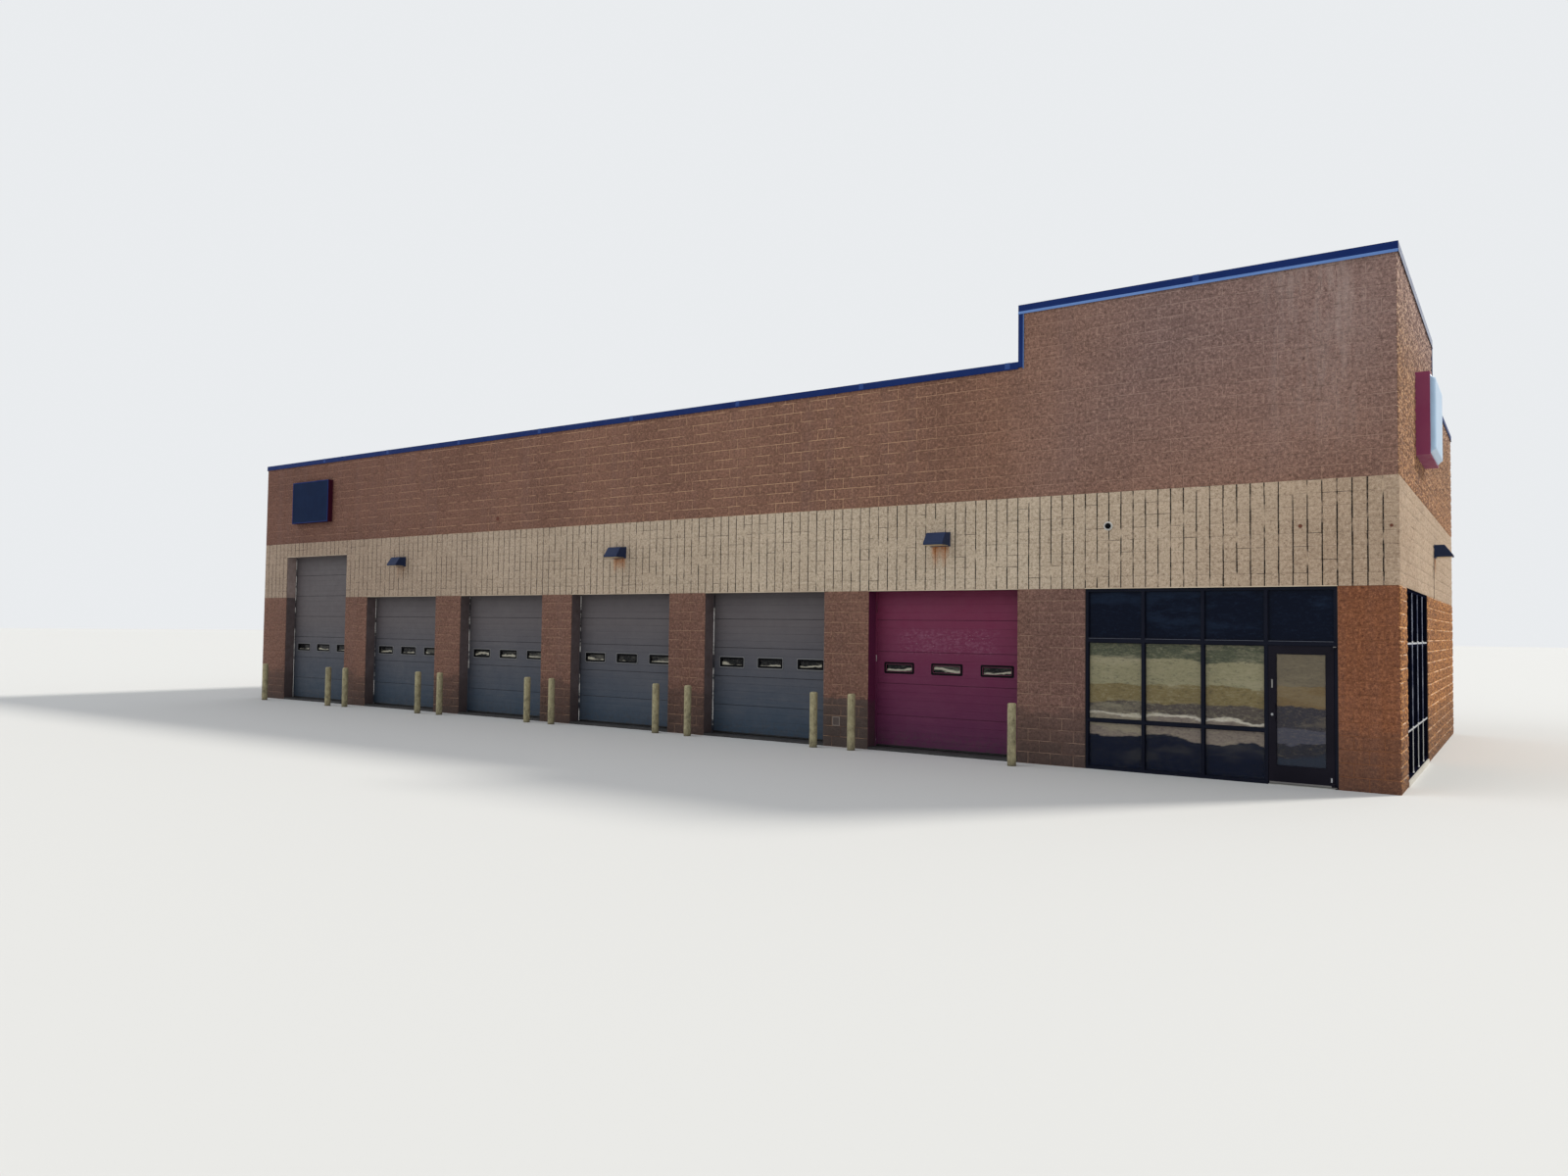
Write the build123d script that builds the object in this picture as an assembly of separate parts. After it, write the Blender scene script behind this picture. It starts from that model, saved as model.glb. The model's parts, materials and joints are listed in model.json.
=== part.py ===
"""Single-storey store of painted concrete block, built hollow at full size.

The shop front and its door stand at the right end of the front, six vehicle
doors fill the rest, and the parapet steps up over the shop's corner.
X runs along the front to the right, Y runs back from the front, Z is up.
The origin is the middle of the plan at ground level.
"""
import os

from build123d import *

os.makedirs("parts", exist_ok=True)

# Block masonry, in whole 203.2 courses
WALL_T = 304.8
DEPTH = 12192.0
LEFT_PIER_W = 1219.2
DOOR_PIER_W = 1016.0
SHOP_PIER_W = 1219.2
RIGHT_PIER_W = 812.8
DOOR_HEAD = 3048.0
TALL_HEAD = 4267.2
BAND_TOP = 4673.6
LOW_TOP = 7112.0
TOWER_TOP = 8128.0
TOWER_DEPTH = 6502.4

# Floor, roof and metal copings
FLOOR_T = 50.0
ROOF_T = 150.0
ROOF_BELOW_COPING = 1000.0
COPING_H = 102.0
COPING_LIP = 22.0
END_CAP_W = 90.0

# Vehicle doors, numbered from the left; the first is the tall one
DOOR_COUNT = 6
DOOR_W = 3048.0
DOOR_T = 50.8
DOOR_LAP = 38.0
SECTION_H = 609.6
SECTION_GROOVE_H = 8.0
SECTION_GROOVE_D = 6.0
WINDOW_SECTION = 3
DOOR_WINDOW_W = 606.0
DOOR_WINDOW_H = 178.0
DOOR_WINDOW_R = 42.0
DOOR_WINDOW_PITCH = 1010.0
DOOR_WINDOWS = 3
DOOR_PANE_T = 12.0

# Shop glazing
SHOP_W = 3860.8
FRAME_W = 50.8
FRAME_D = 114.3
FRAME_SETBACK = 12.0
GLASS_T = 6.4
MID_RAIL_Z = 823.0
HEADER_H = 70.0
SHOP_BAYS = 3

# Entry door, hung on its right side on offset pivots
LEAF_W = 914.4
LEAF_H = 2115.0
LEAF_T = 44.5
LEAF_GAP = 6.0
STILE_W = 106.0
TOP_RAIL_H = 116.0
BOTTOM_RAIL_H = 274.0
STOP_W = 16.0
STOP_T = 14.0
PIVOT_OUT = 19.0
THRESHOLD_H = 12.0
PULL_R = 12.7
PULL_H = 254.0
PULL_OUT = 57.0
PULL_POST_R = 9.5
PULL_Z = 1110.0
KNUCKLE_R = 12.0
KNUCKLE_H = 45.0
KNUCKLE_ARM_W = 40.0
PIVOT_PIN_R = 5.0
PIVOT_PLAY = 0.3
BRACKET_T = 12.0
CLOSER_L = 250.0
CLOSER_H = 62.0
CLOSER_T = 58.0
CLOSER_DROP = 30.0
CLOSER_FROM_EDGE = 90.0

# Window in the right wall
SIDE_PIER_W = 711.2
SIDE_WINDOW_W = 3860.8
SIDE_BAYS = 4
SIDE_SILL_H = 80.0
SIDE_SILL_LIP = 15.0

# Box signs, lamps and the round fixture
FRONT_SIGN_W = 1828.8
FRONT_SIGN_H = 1219.2
FRONT_SIGN_T = 152.4
FRONT_SIGN_FROM_LEFT = 1668.0
FRONT_SIGN_Z = 5245.0
SIDE_SIGN_W = 1828.8
SIDE_SIGN_H = 1397.0
SIDE_SIGN_T = 210.0
SIDE_SIGN_FROM_FRONT = 2750.0
SIDE_SIGN_Z = 5340.0
SIGN_RETAINER_W = 28.0
SIGN_FACE_T = 5.0
SIDE_FACE_T = 90.0
SIDE_FACE_SLOPE = 120.0
LAMP_W = 400.0
LAMP_H = 235.0
LAMP_OUT = 320.0
LAMP_TOP_OUT = 180.0
LAMP_LIP_H = 38.0
LAMP_Z = 3875.0
SIDE_LAMP_FROM_FRONT = 6860.0
DOME_R = 76.0
DOME_BASE_T = 28.0
DOME_BALL_R = 48.0
DOME_FROM_RIGHT = 4275.0
DOME_Z = 4100.0

# Bollards that guard the vehicle doors, from the left door to the right one: how far each
# stands outside its door's jamb, and how far its middle stands from the wall
BOLLARD_R = 76.0
BOLLARD_H = 1075.0
BOLLARD_TOP_R = 36.0
LEFT_BOLLARDS = [(40.0, 570.0), (100.0, 540.0), (170.0, 460.0),
                 (230.0, 370.0), (165.0, 340.0), (170.0, 330.0)]
RIGHT_BOLLARDS = [(250.0, 630.0), (80.0, 550.0), (-15.0, 400.0),
                  (-90.0, 300.0), (10.0, 370.0), (120.0, 520.0)]

LENGTH = (LEFT_PIER_W + DOOR_COUNT * DOOR_W + (DOOR_COUNT - 1) * DOOR_PIER_W
          + SHOP_PIER_W + SHOP_W + RIGHT_PIER_W)
LEFT = -LENGTH / 2
RIGHT = LENGTH / 2
FRONT = -DEPTH / 2
REAR = DEPTH / 2
FRONT_IN = FRONT + WALL_T
REAR_IN = REAR - WALL_T
LEFT_IN = LEFT + WALL_T
RIGHT_IN = RIGHT - WALL_T

DOOR_LEFTS = [LEFT + LEFT_PIER_W + i * (DOOR_W + DOOR_PIER_W) for i in range(DOOR_COUNT)]
DOOR_HEADS = [TALL_HEAD] + [DOOR_HEAD] * (DOOR_COUNT - 1)
TALL_LEFT = DOOR_LEFTS[0]
TALL_RIGHT = TALL_LEFT + DOOR_W
SHOP_LEFT = DOOR_LEFTS[-1] + DOOR_W + SHOP_PIER_W
SHOP_RIGHT = SHOP_LEFT + SHOP_W

# The raised parapet starts in line with the last vehicle door's right side
TOWER_LEFT = DOOR_LEFTS[-1] + DOOR_W
TOWER_BACK = FRONT + TOWER_DEPTH
LOW_WALL_TOP = LOW_TOP - COPING_H
TOWER_WALL_TOP = TOWER_TOP - COPING_H
ROOF_TOP = LOW_TOP - ROOF_BELOW_COPING

SIDE_WINDOW_FRONT = FRONT_IN + SIDE_PIER_W
SIDE_WINDOW_BACK = SIDE_WINDOW_FRONT + SIDE_WINDOW_W

FRAME_FACE = FRONT + FRAME_SETBACK
FRAME_BACK = FRAME_FACE + FRAME_D
LEAF_RIGHT = SHOP_RIGHT - FRAME_W - LEAF_GAP
LEAF_LEFT = LEAF_RIGHT - LEAF_W
STRIKE_RIGHT = LEAF_LEFT - LEAF_GAP
STRIKE_LEFT = STRIKE_RIGHT - FRAME_W
LEAF_BOTTOM = THRESHOLD_H + LEAF_GAP
LEAF_TOP = LEAF_BOTTOM + LEAF_H
HEADER_BOTTOM = LEAF_TOP + LEAF_GAP
HEADER_TOP = HEADER_BOTTOM + HEADER_H


def brick(x, y, z):
    """A box between the low and high values given for each axis."""
    size = [high - low for low, high in (x, y, z)]
    middle = [(high + low) / 2 for low, high in (x, y, z)]
    return Pos(*middle) * Box(*size)


def save(node, solids):
    """Write one node, from one solid or from a list of solids that don't touch."""
    solids = solids if isinstance(solids, list) else [solids]
    shape = solids[0] if len(solids) == 1 else Compound(children=solids)
    shape.label = node
    export_step(shape, f"parts/{node}.step")


def middles(low, high, bars, width):
    """The centres of bars that part a run into equal clear gaps."""
    clear = (high - low - bars * width) / (bars + 1)
    return [low + (i + 1) * clear + (i + 0.5) * width for i in range(bars)]


def gaps(low, high, centres, width):
    """The clear stretches left between bars of one width."""
    starts = [low] + [c + width / 2 for c in centres]
    ends = [c - width / 2 for c in centres] + [high]
    return list(zip(starts, ends))


def front_walls():
    front = (FRONT, FRONT_IN)
    starts = [LEFT] + [x + DOOR_W for x in DOOR_LEFTS] + [SHOP_RIGHT]
    ends = DOOR_LEFTS + [SHOP_LEFT, RIGHT]
    save("front_piers", [brick((a, b), front, (0, DOOR_HEAD)) for a, b in zip(starts, ends)])

    band = (DOOR_HEAD, BAND_TOP)
    save("front_band_wall", [brick((LEFT, TALL_LEFT), front, band),
                             brick((TALL_RIGHT, RIGHT), front, band)])
    save("tall_door_lintel", brick((TALL_LEFT, TALL_RIGHT), front, (TALL_HEAD, BAND_TOP)))
    step = TOWER_LEFT + END_CAP_W
    save("front_upper_wall", brick((LEFT, step), front, (BAND_TOP, LOW_WALL_TOP)))
    save("tower_front_wall", brick((step, RIGHT), front, (BAND_TOP, TOWER_WALL_TOP)))


def right_walls():
    right = (RIGHT_IN, RIGHT)
    base = (0, DOOR_HEAD)
    save("right_wall_base", [brick(right, (FRONT_IN, SIDE_WINDOW_FRONT), base),
                             brick(right, (SIDE_WINDOW_BACK, REAR_IN), base)])
    save("right_wall_band", brick(right, (FRONT_IN, REAR_IN), (DOOR_HEAD, BAND_TOP)))
    step = TOWER_BACK - END_CAP_W
    save("right_upper_wall", brick(right, (step, REAR_IN), (BAND_TOP, LOW_WALL_TOP)))
    save("tower_right_wall", brick(right, (FRONT_IN, step), (BAND_TOP, TOWER_WALL_TOP)))


def plain_walls():
    """The left and rear walls, which repeat the bands of the other two."""
    bands = {"base": (0, DOOR_HEAD), "band": (DOOR_HEAD, BAND_TOP), "upper": (BAND_TOP, LOW_WALL_TOP)}
    for name, z in bands.items():
        save(f"left_wall_{name}", brick((LEFT, LEFT_IN), (FRONT_IN, REAR_IN), z))
        save(f"rear_wall_{name}", brick((LEFT, RIGHT), (REAR_IN, REAR), z))


def floor_and_roof():
    inside_x = (LEFT_IN, RIGHT_IN)
    inside_y = (FRONT_IN, REAR_IN)
    floor = brick(inside_x, inside_y, (0, FLOOR_T))
    for x in DOOR_LEFTS:
        floor += brick((x, x + DOOR_W), (FRONT, FRONT_IN), (0, FLOOR_T))
    floor += brick((SHOP_LEFT, SHOP_RIGHT), (FRAME_BACK, FRONT_IN), (0, FLOOR_T))
    save("floor_slab", floor)
    save("roof_deck", brick(inside_x, inside_y, (ROOF_TOP - ROOF_T, ROOF_TOP)))


def copings():
    low = (LOW_WALL_TOP, LOW_TOP)
    high = (TOWER_WALL_TOP, TOWER_TOP)
    over_front = (FRONT - COPING_LIP, FRONT_IN + COPING_LIP)
    over_rear = (REAR_IN - COPING_LIP, REAR + COPING_LIP)
    over_left = (LEFT - COPING_LIP, LEFT_IN + COPING_LIP)
    over_right = (RIGHT_IN - COPING_LIP, RIGHT + COPING_LIP)
    between = (over_front[1], over_rear[0])
    save("coping_front", brick((over_left[0], TOWER_LEFT), over_front, low))
    save("coping_rear", brick((over_left[0], over_right[1]), over_rear, low))
    save("coping_left", brick(over_left, between, low))
    save("coping_right", brick(over_right, (TOWER_BACK, over_rear[0]), low))

    end = (LOW_WALL_TOP, TOWER_TOP)
    front_cap = brick((TOWER_LEFT, over_right[1]), over_front, high)
    front_cap += brick((TOWER_LEFT, TOWER_LEFT + END_CAP_W), over_front, end)
    save("tower_coping_front", front_cap)
    right_cap = brick(over_right, (over_front[1], TOWER_BACK), high)
    right_cap += brick(over_right, (TOWER_BACK - END_CAP_W, TOWER_BACK), end)
    save("tower_coping_right", right_cap)


def door_window_centres(left):
    middle = left + DOOR_W / 2
    return [middle + (i - (DOOR_WINDOWS - 1) / 2) * DOOR_WINDOW_PITCH for i in range(DOOR_WINDOWS)]


def window_block(x, depth):
    """A block with the rounded outline of one small door window."""
    outline = RectangleRounded(DOOR_WINDOW_W, DOOR_WINDOW_H, DOOR_WINDOW_R)
    middle = FRONT_IN + DOOR_T / 2
    block = extrude(Plane.XZ * outline, amount=depth / 2, both=True)
    return Pos(x, middle, FLOOR_T + (WINDOW_SECTION - 0.5) * SECTION_H) * block


def vehicle_door(left, head):
    """Sections of one closed door, standing behind the wall on the floor."""
    x = (left - DOOR_LAP, left + DOOR_W + DOOR_LAP)
    top = head + DOOR_LAP
    door = brick(x, (FRONT_IN, FRONT_IN + DOOR_T), (FLOOR_T, top))
    for i in range(1, int(head / SECTION_H) + 1):
        z = FLOOR_T + i * SECTION_H
        if z < top - SECTION_GROOVE_H:
            door -= brick(x, (FRONT_IN, FRONT_IN + SECTION_GROOVE_D), (z, z + SECTION_GROOVE_H))
    for centre in door_window_centres(left):
        door -= window_block(centre, 2 * DOOR_T)
    return door


def vehicle_doors():
    panes = []
    for number, (left, head) in enumerate(zip(DOOR_LEFTS, DOOR_HEADS), start=1):
        save(f"overhead_door_{number}", vehicle_door(left, head))
        panes += [window_block(centre, DOOR_PANE_T) for centre in door_window_centres(left)]
    save("door_windows", panes)


def shop_front():
    depth = (FRAME_FACE, FRAME_BACK)
    full = (0, DOOR_HEAD)
    left_bay = SHOP_LEFT + FRAME_W
    posts = middles(left_bay, STRIKE_LEFT, SHOP_BAYS - 1, FRAME_W)
    rails = [(0, FRAME_W), (MID_RAIL_Z - FRAME_W / 2, MID_RAIL_Z + FRAME_W / 2),
             (HEADER_BOTTOM, HEADER_TOP), (DOOR_HEAD - FRAME_W, DOOR_HEAD)]
    frame = brick((SHOP_LEFT, left_bay), depth, full)
    for post in posts:
        frame += brick((post - FRAME_W / 2, post + FRAME_W / 2), depth, full)
    frame += brick((STRIKE_LEFT, STRIKE_RIGHT), depth, full)
    for z in rails:
        frame += brick((SHOP_LEFT, STRIKE_LEFT), depth, z)

    stop = (FRAME_FACE + LEAF_T + LEAF_GAP, FRAME_FACE + LEAF_T + LEAF_GAP + STOP_T)
    stop_z = (THRESHOLD_H, HEADER_BOTTOM)
    frame += brick((STRIKE_RIGHT, STRIKE_RIGHT + STOP_W), stop, stop_z)
    save("storefront_frame", frame)

    jamb_left = SHOP_RIGHT - FRAME_W
    entry = brick((jamb_left, SHOP_RIGHT), depth, full)
    entry += brick((STRIKE_RIGHT, jamb_left), depth, rails[2])
    entry += brick((STRIKE_RIGHT, jamb_left), depth, rails[3])
    entry += brick((jamb_left - STOP_W, jamb_left), stop, stop_z)
    head_stop = (STRIKE_RIGHT + STOP_W, jamb_left - STOP_W)
    entry += brick(head_stop, stop, (HEADER_BOTTOM - STOP_W, HEADER_BOTTOM))
    save("entry_frame", entry)

    middle = FRAME_FACE + FRAME_D / 2
    pane = (middle - GLASS_T / 2, middle + GLASS_T / 2)
    rows = [(low[1], high[0]) for low, high in zip(rails, rails[1:])]
    bays = gaps(left_bay, STRIKE_LEFT, posts, FRAME_W)
    panes = [brick(x, pane, z) for x in bays for z in rows]
    panes.append(brick((STRIKE_RIGHT, jamb_left), pane, rows[-1]))
    save("storefront_glass", panes)
    save("entry_threshold", brick((STRIKE_RIGHT, jamb_left), depth, (0, THRESHOLD_H)))


def entry_door():
    leaf_y = (FRAME_FACE, FRAME_FACE + LEAF_T)
    light_x = (LEAF_LEFT + STILE_W, LEAF_RIGHT - STILE_W)
    light_z = (LEAF_BOTTOM + BOTTOM_RAIL_H, LEAF_TOP - TOP_RAIL_H)
    leaf = brick((LEAF_LEFT, LEAF_RIGHT), leaf_y, (LEAF_BOTTOM, LEAF_TOP))
    leaf -= brick(light_x, (leaf_y[0] - LEAF_T, leaf_y[1] + LEAF_T), light_z)
    save("entry_door", leaf)
    middle = FRAME_FACE + LEAF_T / 2
    save("entry_door_glass", brick(light_x, (middle - GLASS_T / 2, middle + GLASS_T / 2), light_z))

    closer_x = (LEAF_RIGHT - CLOSER_FROM_EDGE - CLOSER_L, LEAF_RIGHT - CLOSER_FROM_EDGE)
    closer_bottom = LEAF_TOP - TOP_RAIL_H - CLOSER_DROP
    closer = brick(closer_x, (leaf_y[1], leaf_y[1] + CLOSER_T), (closer_bottom, closer_bottom + CLOSER_H))
    save("entry_door_closer", closer)
    pivots = [offset_pivot(LEAF_BOTTOM, 1), offset_pivot(LEAF_TOP, -1)]
    save("entry_door_hardware", [door_pull()] + [knuckle for knuckle, bracket in pivots])
    save("entry_pivots", [bracket for knuckle, bracket in pivots])


def door_pull():
    """An upright grip on two posts at the inner edge of the lock stile."""
    pull_x = LEAF_LEFT + STILE_W - PULL_R
    pull = Pos(pull_x, FRAME_FACE - PULL_OUT, PULL_Z) * Cylinder(PULL_R, PULL_H)
    for side in (-1, 1):
        z = PULL_Z + side * (PULL_H / 2 - 2 * PULL_POST_R)
        post = Rot(90, 0, 0) * Cylinder(PULL_POST_R, PULL_OUT)
        pull += Pos(pull_x, FRAME_FACE - PULL_OUT / 2, z) * post
    return pull


def offset_pivot(leaf_end, inward):
    """The leaf's bored knuckle, and the jamb's bracket whose pin carries it.

    It stands at the leaf's end, and inward is 1 at the bottom and -1 at the top.
    """
    axis_y = FRAME_FACE - PIVOT_OUT
    bracket_z = sorted((leaf_end, leaf_end + inward * BRACKET_T))
    knuckle_low = leaf_end + inward * (BRACKET_T + PIVOT_PLAY)
    knuckle_z = sorted((knuckle_low, knuckle_low + inward * KNUCKLE_H))

    def upright(radius, z):
        return Pos(LEAF_RIGHT, axis_y, sum(z) / 2) * Cylinder(radius, z[1] - z[0])

    knuckle = upright(KNUCKLE_R, knuckle_z)
    knuckle += brick((LEAF_RIGHT - KNUCKLE_ARM_W, LEAF_RIGHT), (axis_y, FRAME_FACE), knuckle_z)
    knuckle -= upright(PIVOT_PIN_R + PIVOT_PLAY, knuckle_z)
    bracket = upright(KNUCKLE_R, bracket_z)
    jamb_middle = SHOP_RIGHT - FRAME_W / 2
    bracket += brick((LEAF_RIGHT, jamb_middle), (axis_y - KNUCKLE_R, axis_y + KNUCKLE_R), bracket_z)
    bracket += brick((SHOP_RIGHT - FRAME_W, jamb_middle), (axis_y, FRAME_FACE), bracket_z)
    bracket += upright(PIVOT_PIN_R, sorted((leaf_end, knuckle_low + inward * KNUCKLE_H)))
    return knuckle, bracket


def side_window():
    face = RIGHT - FRAME_SETBACK
    depth = (face - FRAME_D, face)
    y = (SIDE_WINDOW_FRONT, SIDE_WINDOW_BACK)
    z = (SIDE_SILL_H, DOOR_HEAD)
    sill = brick((RIGHT_IN, RIGHT + SIDE_SILL_LIP), y, (0, SIDE_SILL_H))
    save("side_window_sill", sill)
    posts = middles(y[0] + FRAME_W, y[1] - FRAME_W, SIDE_BAYS - 1, FRAME_W)
    rails = [(z[0], z[0] + FRAME_W), (MID_RAIL_Z - FRAME_W / 2, MID_RAIL_Z + FRAME_W / 2),
             (HEADER_BOTTOM, HEADER_TOP), (z[1] - FRAME_W, z[1])]
    frame = brick(depth, (y[0], y[0] + FRAME_W), z) + brick(depth, (y[1] - FRAME_W, y[1]), z)
    for post in posts:
        frame += brick(depth, (post - FRAME_W / 2, post + FRAME_W / 2), z)
    for rail in rails:
        frame += brick(depth, y, rail)
    save("side_window_frame", frame)

    middle = face - FRAME_D / 2
    pane = (middle - GLASS_T / 2, middle + GLASS_T / 2)
    rows = [(low[1], high[0]) for low, high in zip(rails, rails[1:])]
    bays = gaps(y[0] + FRAME_W, y[1] - FRAME_W, posts, FRAME_W)
    save("side_window_glass", [brick(pane, bay, row) for bay in bays for row in rows])


def signs():
    left = LEFT + FRONT_SIGN_FROM_LEFT
    x = (left, left + FRONT_SIGN_W)
    z = (FRONT_SIGN_Z, FRONT_SIGN_Z + FRONT_SIGN_H)
    box_face = FRONT - FRONT_SIGN_T
    save("front_sign", brick(x, (box_face, FRONT), z))
    face_x = (x[0] + SIGN_RETAINER_W, x[1] - SIGN_RETAINER_W)
    face_z = (z[0] + SIGN_RETAINER_W, z[1] - SIGN_RETAINER_W)
    save("front_sign_face", brick(face_x, (box_face - SIGN_FACE_T, box_face), face_z))

    near = FRONT + SIDE_SIGN_FROM_FRONT
    y = (near, near + SIDE_SIGN_W)
    z = (SIDE_SIGN_Z, SIDE_SIGN_Z + SIDE_SIGN_H)
    box_face = RIGHT + SIDE_SIGN_T
    save("side_sign", brick((RIGHT, box_face), y, z))
    centre = Plane(origin=(box_face, sum(y) / 2, sum(z) / 2), x_dir=(0, 1, 0), z_dir=(1, 0, 0))
    width = SIDE_SIGN_W - 2 * SIGN_RETAINER_W
    height = SIDE_SIGN_H - 2 * SIGN_RETAINER_W
    foot = centre * Rectangle(width, height)
    crown = centre.offset(SIDE_FACE_T) * Rectangle(width - 2 * SIDE_FACE_SLOPE, height - 2 * SIDE_FACE_SLOPE)
    save("side_sign_face", loft([foot, crown]))


def lamp():
    """One wedge-shaped lamp housing against a wall at Y 0, with its foot at Z 0."""
    outline = Polyline((0, 0), (-LAMP_OUT, 0), (-LAMP_OUT, LAMP_LIP_H), (-LAMP_TOP_OUT, LAMP_H),
                       (0, LAMP_H), close=True)
    section = Plane.YZ * make_face(outline)
    return extrude(section, amount=LAMP_W / 2, both=True)


def lamps_and_dome():
    """Lamps over every second vehicle door and one on the right wall."""
    over_doors = [x + DOOR_W / 2 for x in DOOR_LEFTS[1::2]]
    lamps = [Pos(x, FRONT, LAMP_Z) * lamp() for x in over_doors]
    lamps.append(Pos(RIGHT, FRONT + SIDE_LAMP_FROM_FRONT, LAMP_Z) * Rot(0, 0, 90) * lamp())
    save("wall_lamps", lamps)

    base = Pos(0, -DOME_BASE_T / 2, 0) * Rot(90, 0, 0) * Cylinder(DOME_R, DOME_BASE_T)
    ball = Pos(0, -DOME_BASE_T, 0) * Sphere(DOME_BALL_R)
    dome = base + (ball - brick((-DOME_R, DOME_R), (-DOME_BASE_T, DOME_R), (-DOME_R, DOME_R)))
    save("wall_dome", Pos(RIGHT - DOME_FROM_RIGHT, FRONT, DOME_Z) * dome)


def bollards():
    """A post each side of every vehicle door, with a rounded top."""
    post = Pos(0, 0, BOLLARD_H / 2) * Cylinder(BOLLARD_R, BOLLARD_H)
    post = fillet(post.edges().group_by(Axis.Z)[-1], BOLLARD_TOP_R)
    posts = []
    for left, (beside, out) in zip(DOOR_LEFTS, LEFT_BOLLARDS):
        posts.append(Pos(left - beside, FRONT - out, 0) * post)
    for left, (beside, out) in zip(DOOR_LEFTS, RIGHT_BOLLARDS):
        posts.append(Pos(left + DOOR_W + beside, FRONT - out, 0) * post)
    save("bollards", posts)


front_walls()
right_walls()
plain_walls()
floor_and_roof()
copings()
vehicle_doors()
shop_front()
entry_door()
side_window()
signs()
lamps_and_dome()
bollards()
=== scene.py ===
"""The store's finishes: split-face block, scored band, doors, glazing, signs and posts.

Everything is in metres in the frame of the solids: X along the front to the right,
Y back from the front, Z up. Paint colours are display values of 0 to 255, a tint is
three factors that multiply a colour, and the floor, sky and lamps have light values.
"""
import json
import math
import random

import bmesh
import bpy
import numpy as np
from mathutils import Matrix, Vector


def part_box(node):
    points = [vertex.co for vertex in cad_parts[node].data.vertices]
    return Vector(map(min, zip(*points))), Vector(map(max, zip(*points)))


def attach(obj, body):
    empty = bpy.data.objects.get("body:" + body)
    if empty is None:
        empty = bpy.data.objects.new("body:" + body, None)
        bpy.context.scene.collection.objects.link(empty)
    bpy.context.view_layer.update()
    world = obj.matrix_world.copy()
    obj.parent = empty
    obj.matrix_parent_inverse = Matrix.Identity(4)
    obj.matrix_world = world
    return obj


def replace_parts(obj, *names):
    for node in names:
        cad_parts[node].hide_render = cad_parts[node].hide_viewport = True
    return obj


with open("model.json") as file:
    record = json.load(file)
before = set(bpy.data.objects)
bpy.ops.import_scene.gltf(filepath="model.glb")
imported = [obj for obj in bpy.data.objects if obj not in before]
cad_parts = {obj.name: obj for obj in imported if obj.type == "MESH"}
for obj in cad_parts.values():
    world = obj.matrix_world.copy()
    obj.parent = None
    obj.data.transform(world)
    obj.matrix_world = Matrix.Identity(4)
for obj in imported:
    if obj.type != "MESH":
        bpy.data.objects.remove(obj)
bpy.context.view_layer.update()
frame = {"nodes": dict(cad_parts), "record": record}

BUILDING = "building"
LEAF = "entry_leaf"


def span(node, axis):
    """The lowest and highest place of a solid along one axis."""
    low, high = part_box(node)
    return low[axis], high[axis]


# The building, read from its solids
LEFT, RIGHT = span("front_piers", 0)
FRONT, FRONT_IN = span("front_piers", 1)
REAR_IN, REAR = span("rear_wall_base", 1)
RIGHT_IN = span("right_wall_base", 0)[0]
LEFT_IN = span("left_wall_base", 0)[1]
DOOR_HEAD = span("front_piers", 2)[1]
BAND_TOP = span("front_band_wall", 2)[1]
LOW_WALL_TOP = span("front_upper_wall", 2)[1]
TOWER_WALL_TOP = span("tower_front_wall", 2)[1]
TOWER_LEFT = span("tower_coping_front", 0)[0]
TOWER_BACK = span("tower_coping_right", 1)[1]
TOWER_TOP = span("tower_coping_right", 2)[1]
END_CAP = span("tower_front_wall", 0)[0] - TOWER_LEFT
ROOF = span("roof_deck", 2)[1]
FLOOR = span("floor_slab", 2)[1]
SHOP_LEFT = span("storefront_frame", 0)[0]
SHOP_RIGHT = span("entry_frame", 0)[1]
WINDOW_NEAR, WINDOW_FAR = span("side_window_frame", 1)

# How far trim is let in or set back
SINK = 0.001

# Vehicle doors: the left, right and head of each clear opening, from left to right
DOOR_LAP = 0.038
DOORS = []
for number in range(1, 7):
    door_low, door_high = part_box(f"overhead_door_{number}")
    DOORS.append((door_low.x + DOOR_LAP, door_high.x - DOOR_LAP, door_high.z - DOOR_LAP))
MAROON_LEFT, MAROON_RIGHT, _ = DOORS[-1]

# Block masonry
COURSE = 0.2032
BLOCK = 0.4064
JOINT = 0.010
END_JOINT = 0.009
PAD_EDGE = 0.0025
PAD_EDGE_VARY = 0.0012
PAD_ROUGH = 0.010
SUNNY_ROUGH = 0.018
RIDGE_SHARE = 0.45
LUMP = (0.2, 1.0)
PAD_SHIFT = 0.28
SCORE = 0.020
SEAM_FOOT = 0.001
SEAM = 0.0015
DEEP_SEAM = 0.7 * JOINT
DEEP_SHARE = 0.16

random.seed(7)
chance = np.random.default_rng(11)


def light(colour):
    """The light values of a display colour; a socket stays as it is."""
    if isinstance(colour, bpy.types.NodeSocket):
        return colour
    shares = [v / 255 for v in colour]
    return tuple(v / 12.92 if v <= 0.04045 else ((v + 0.055) / 1.055) ** 2.4 for v in shares)


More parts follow.
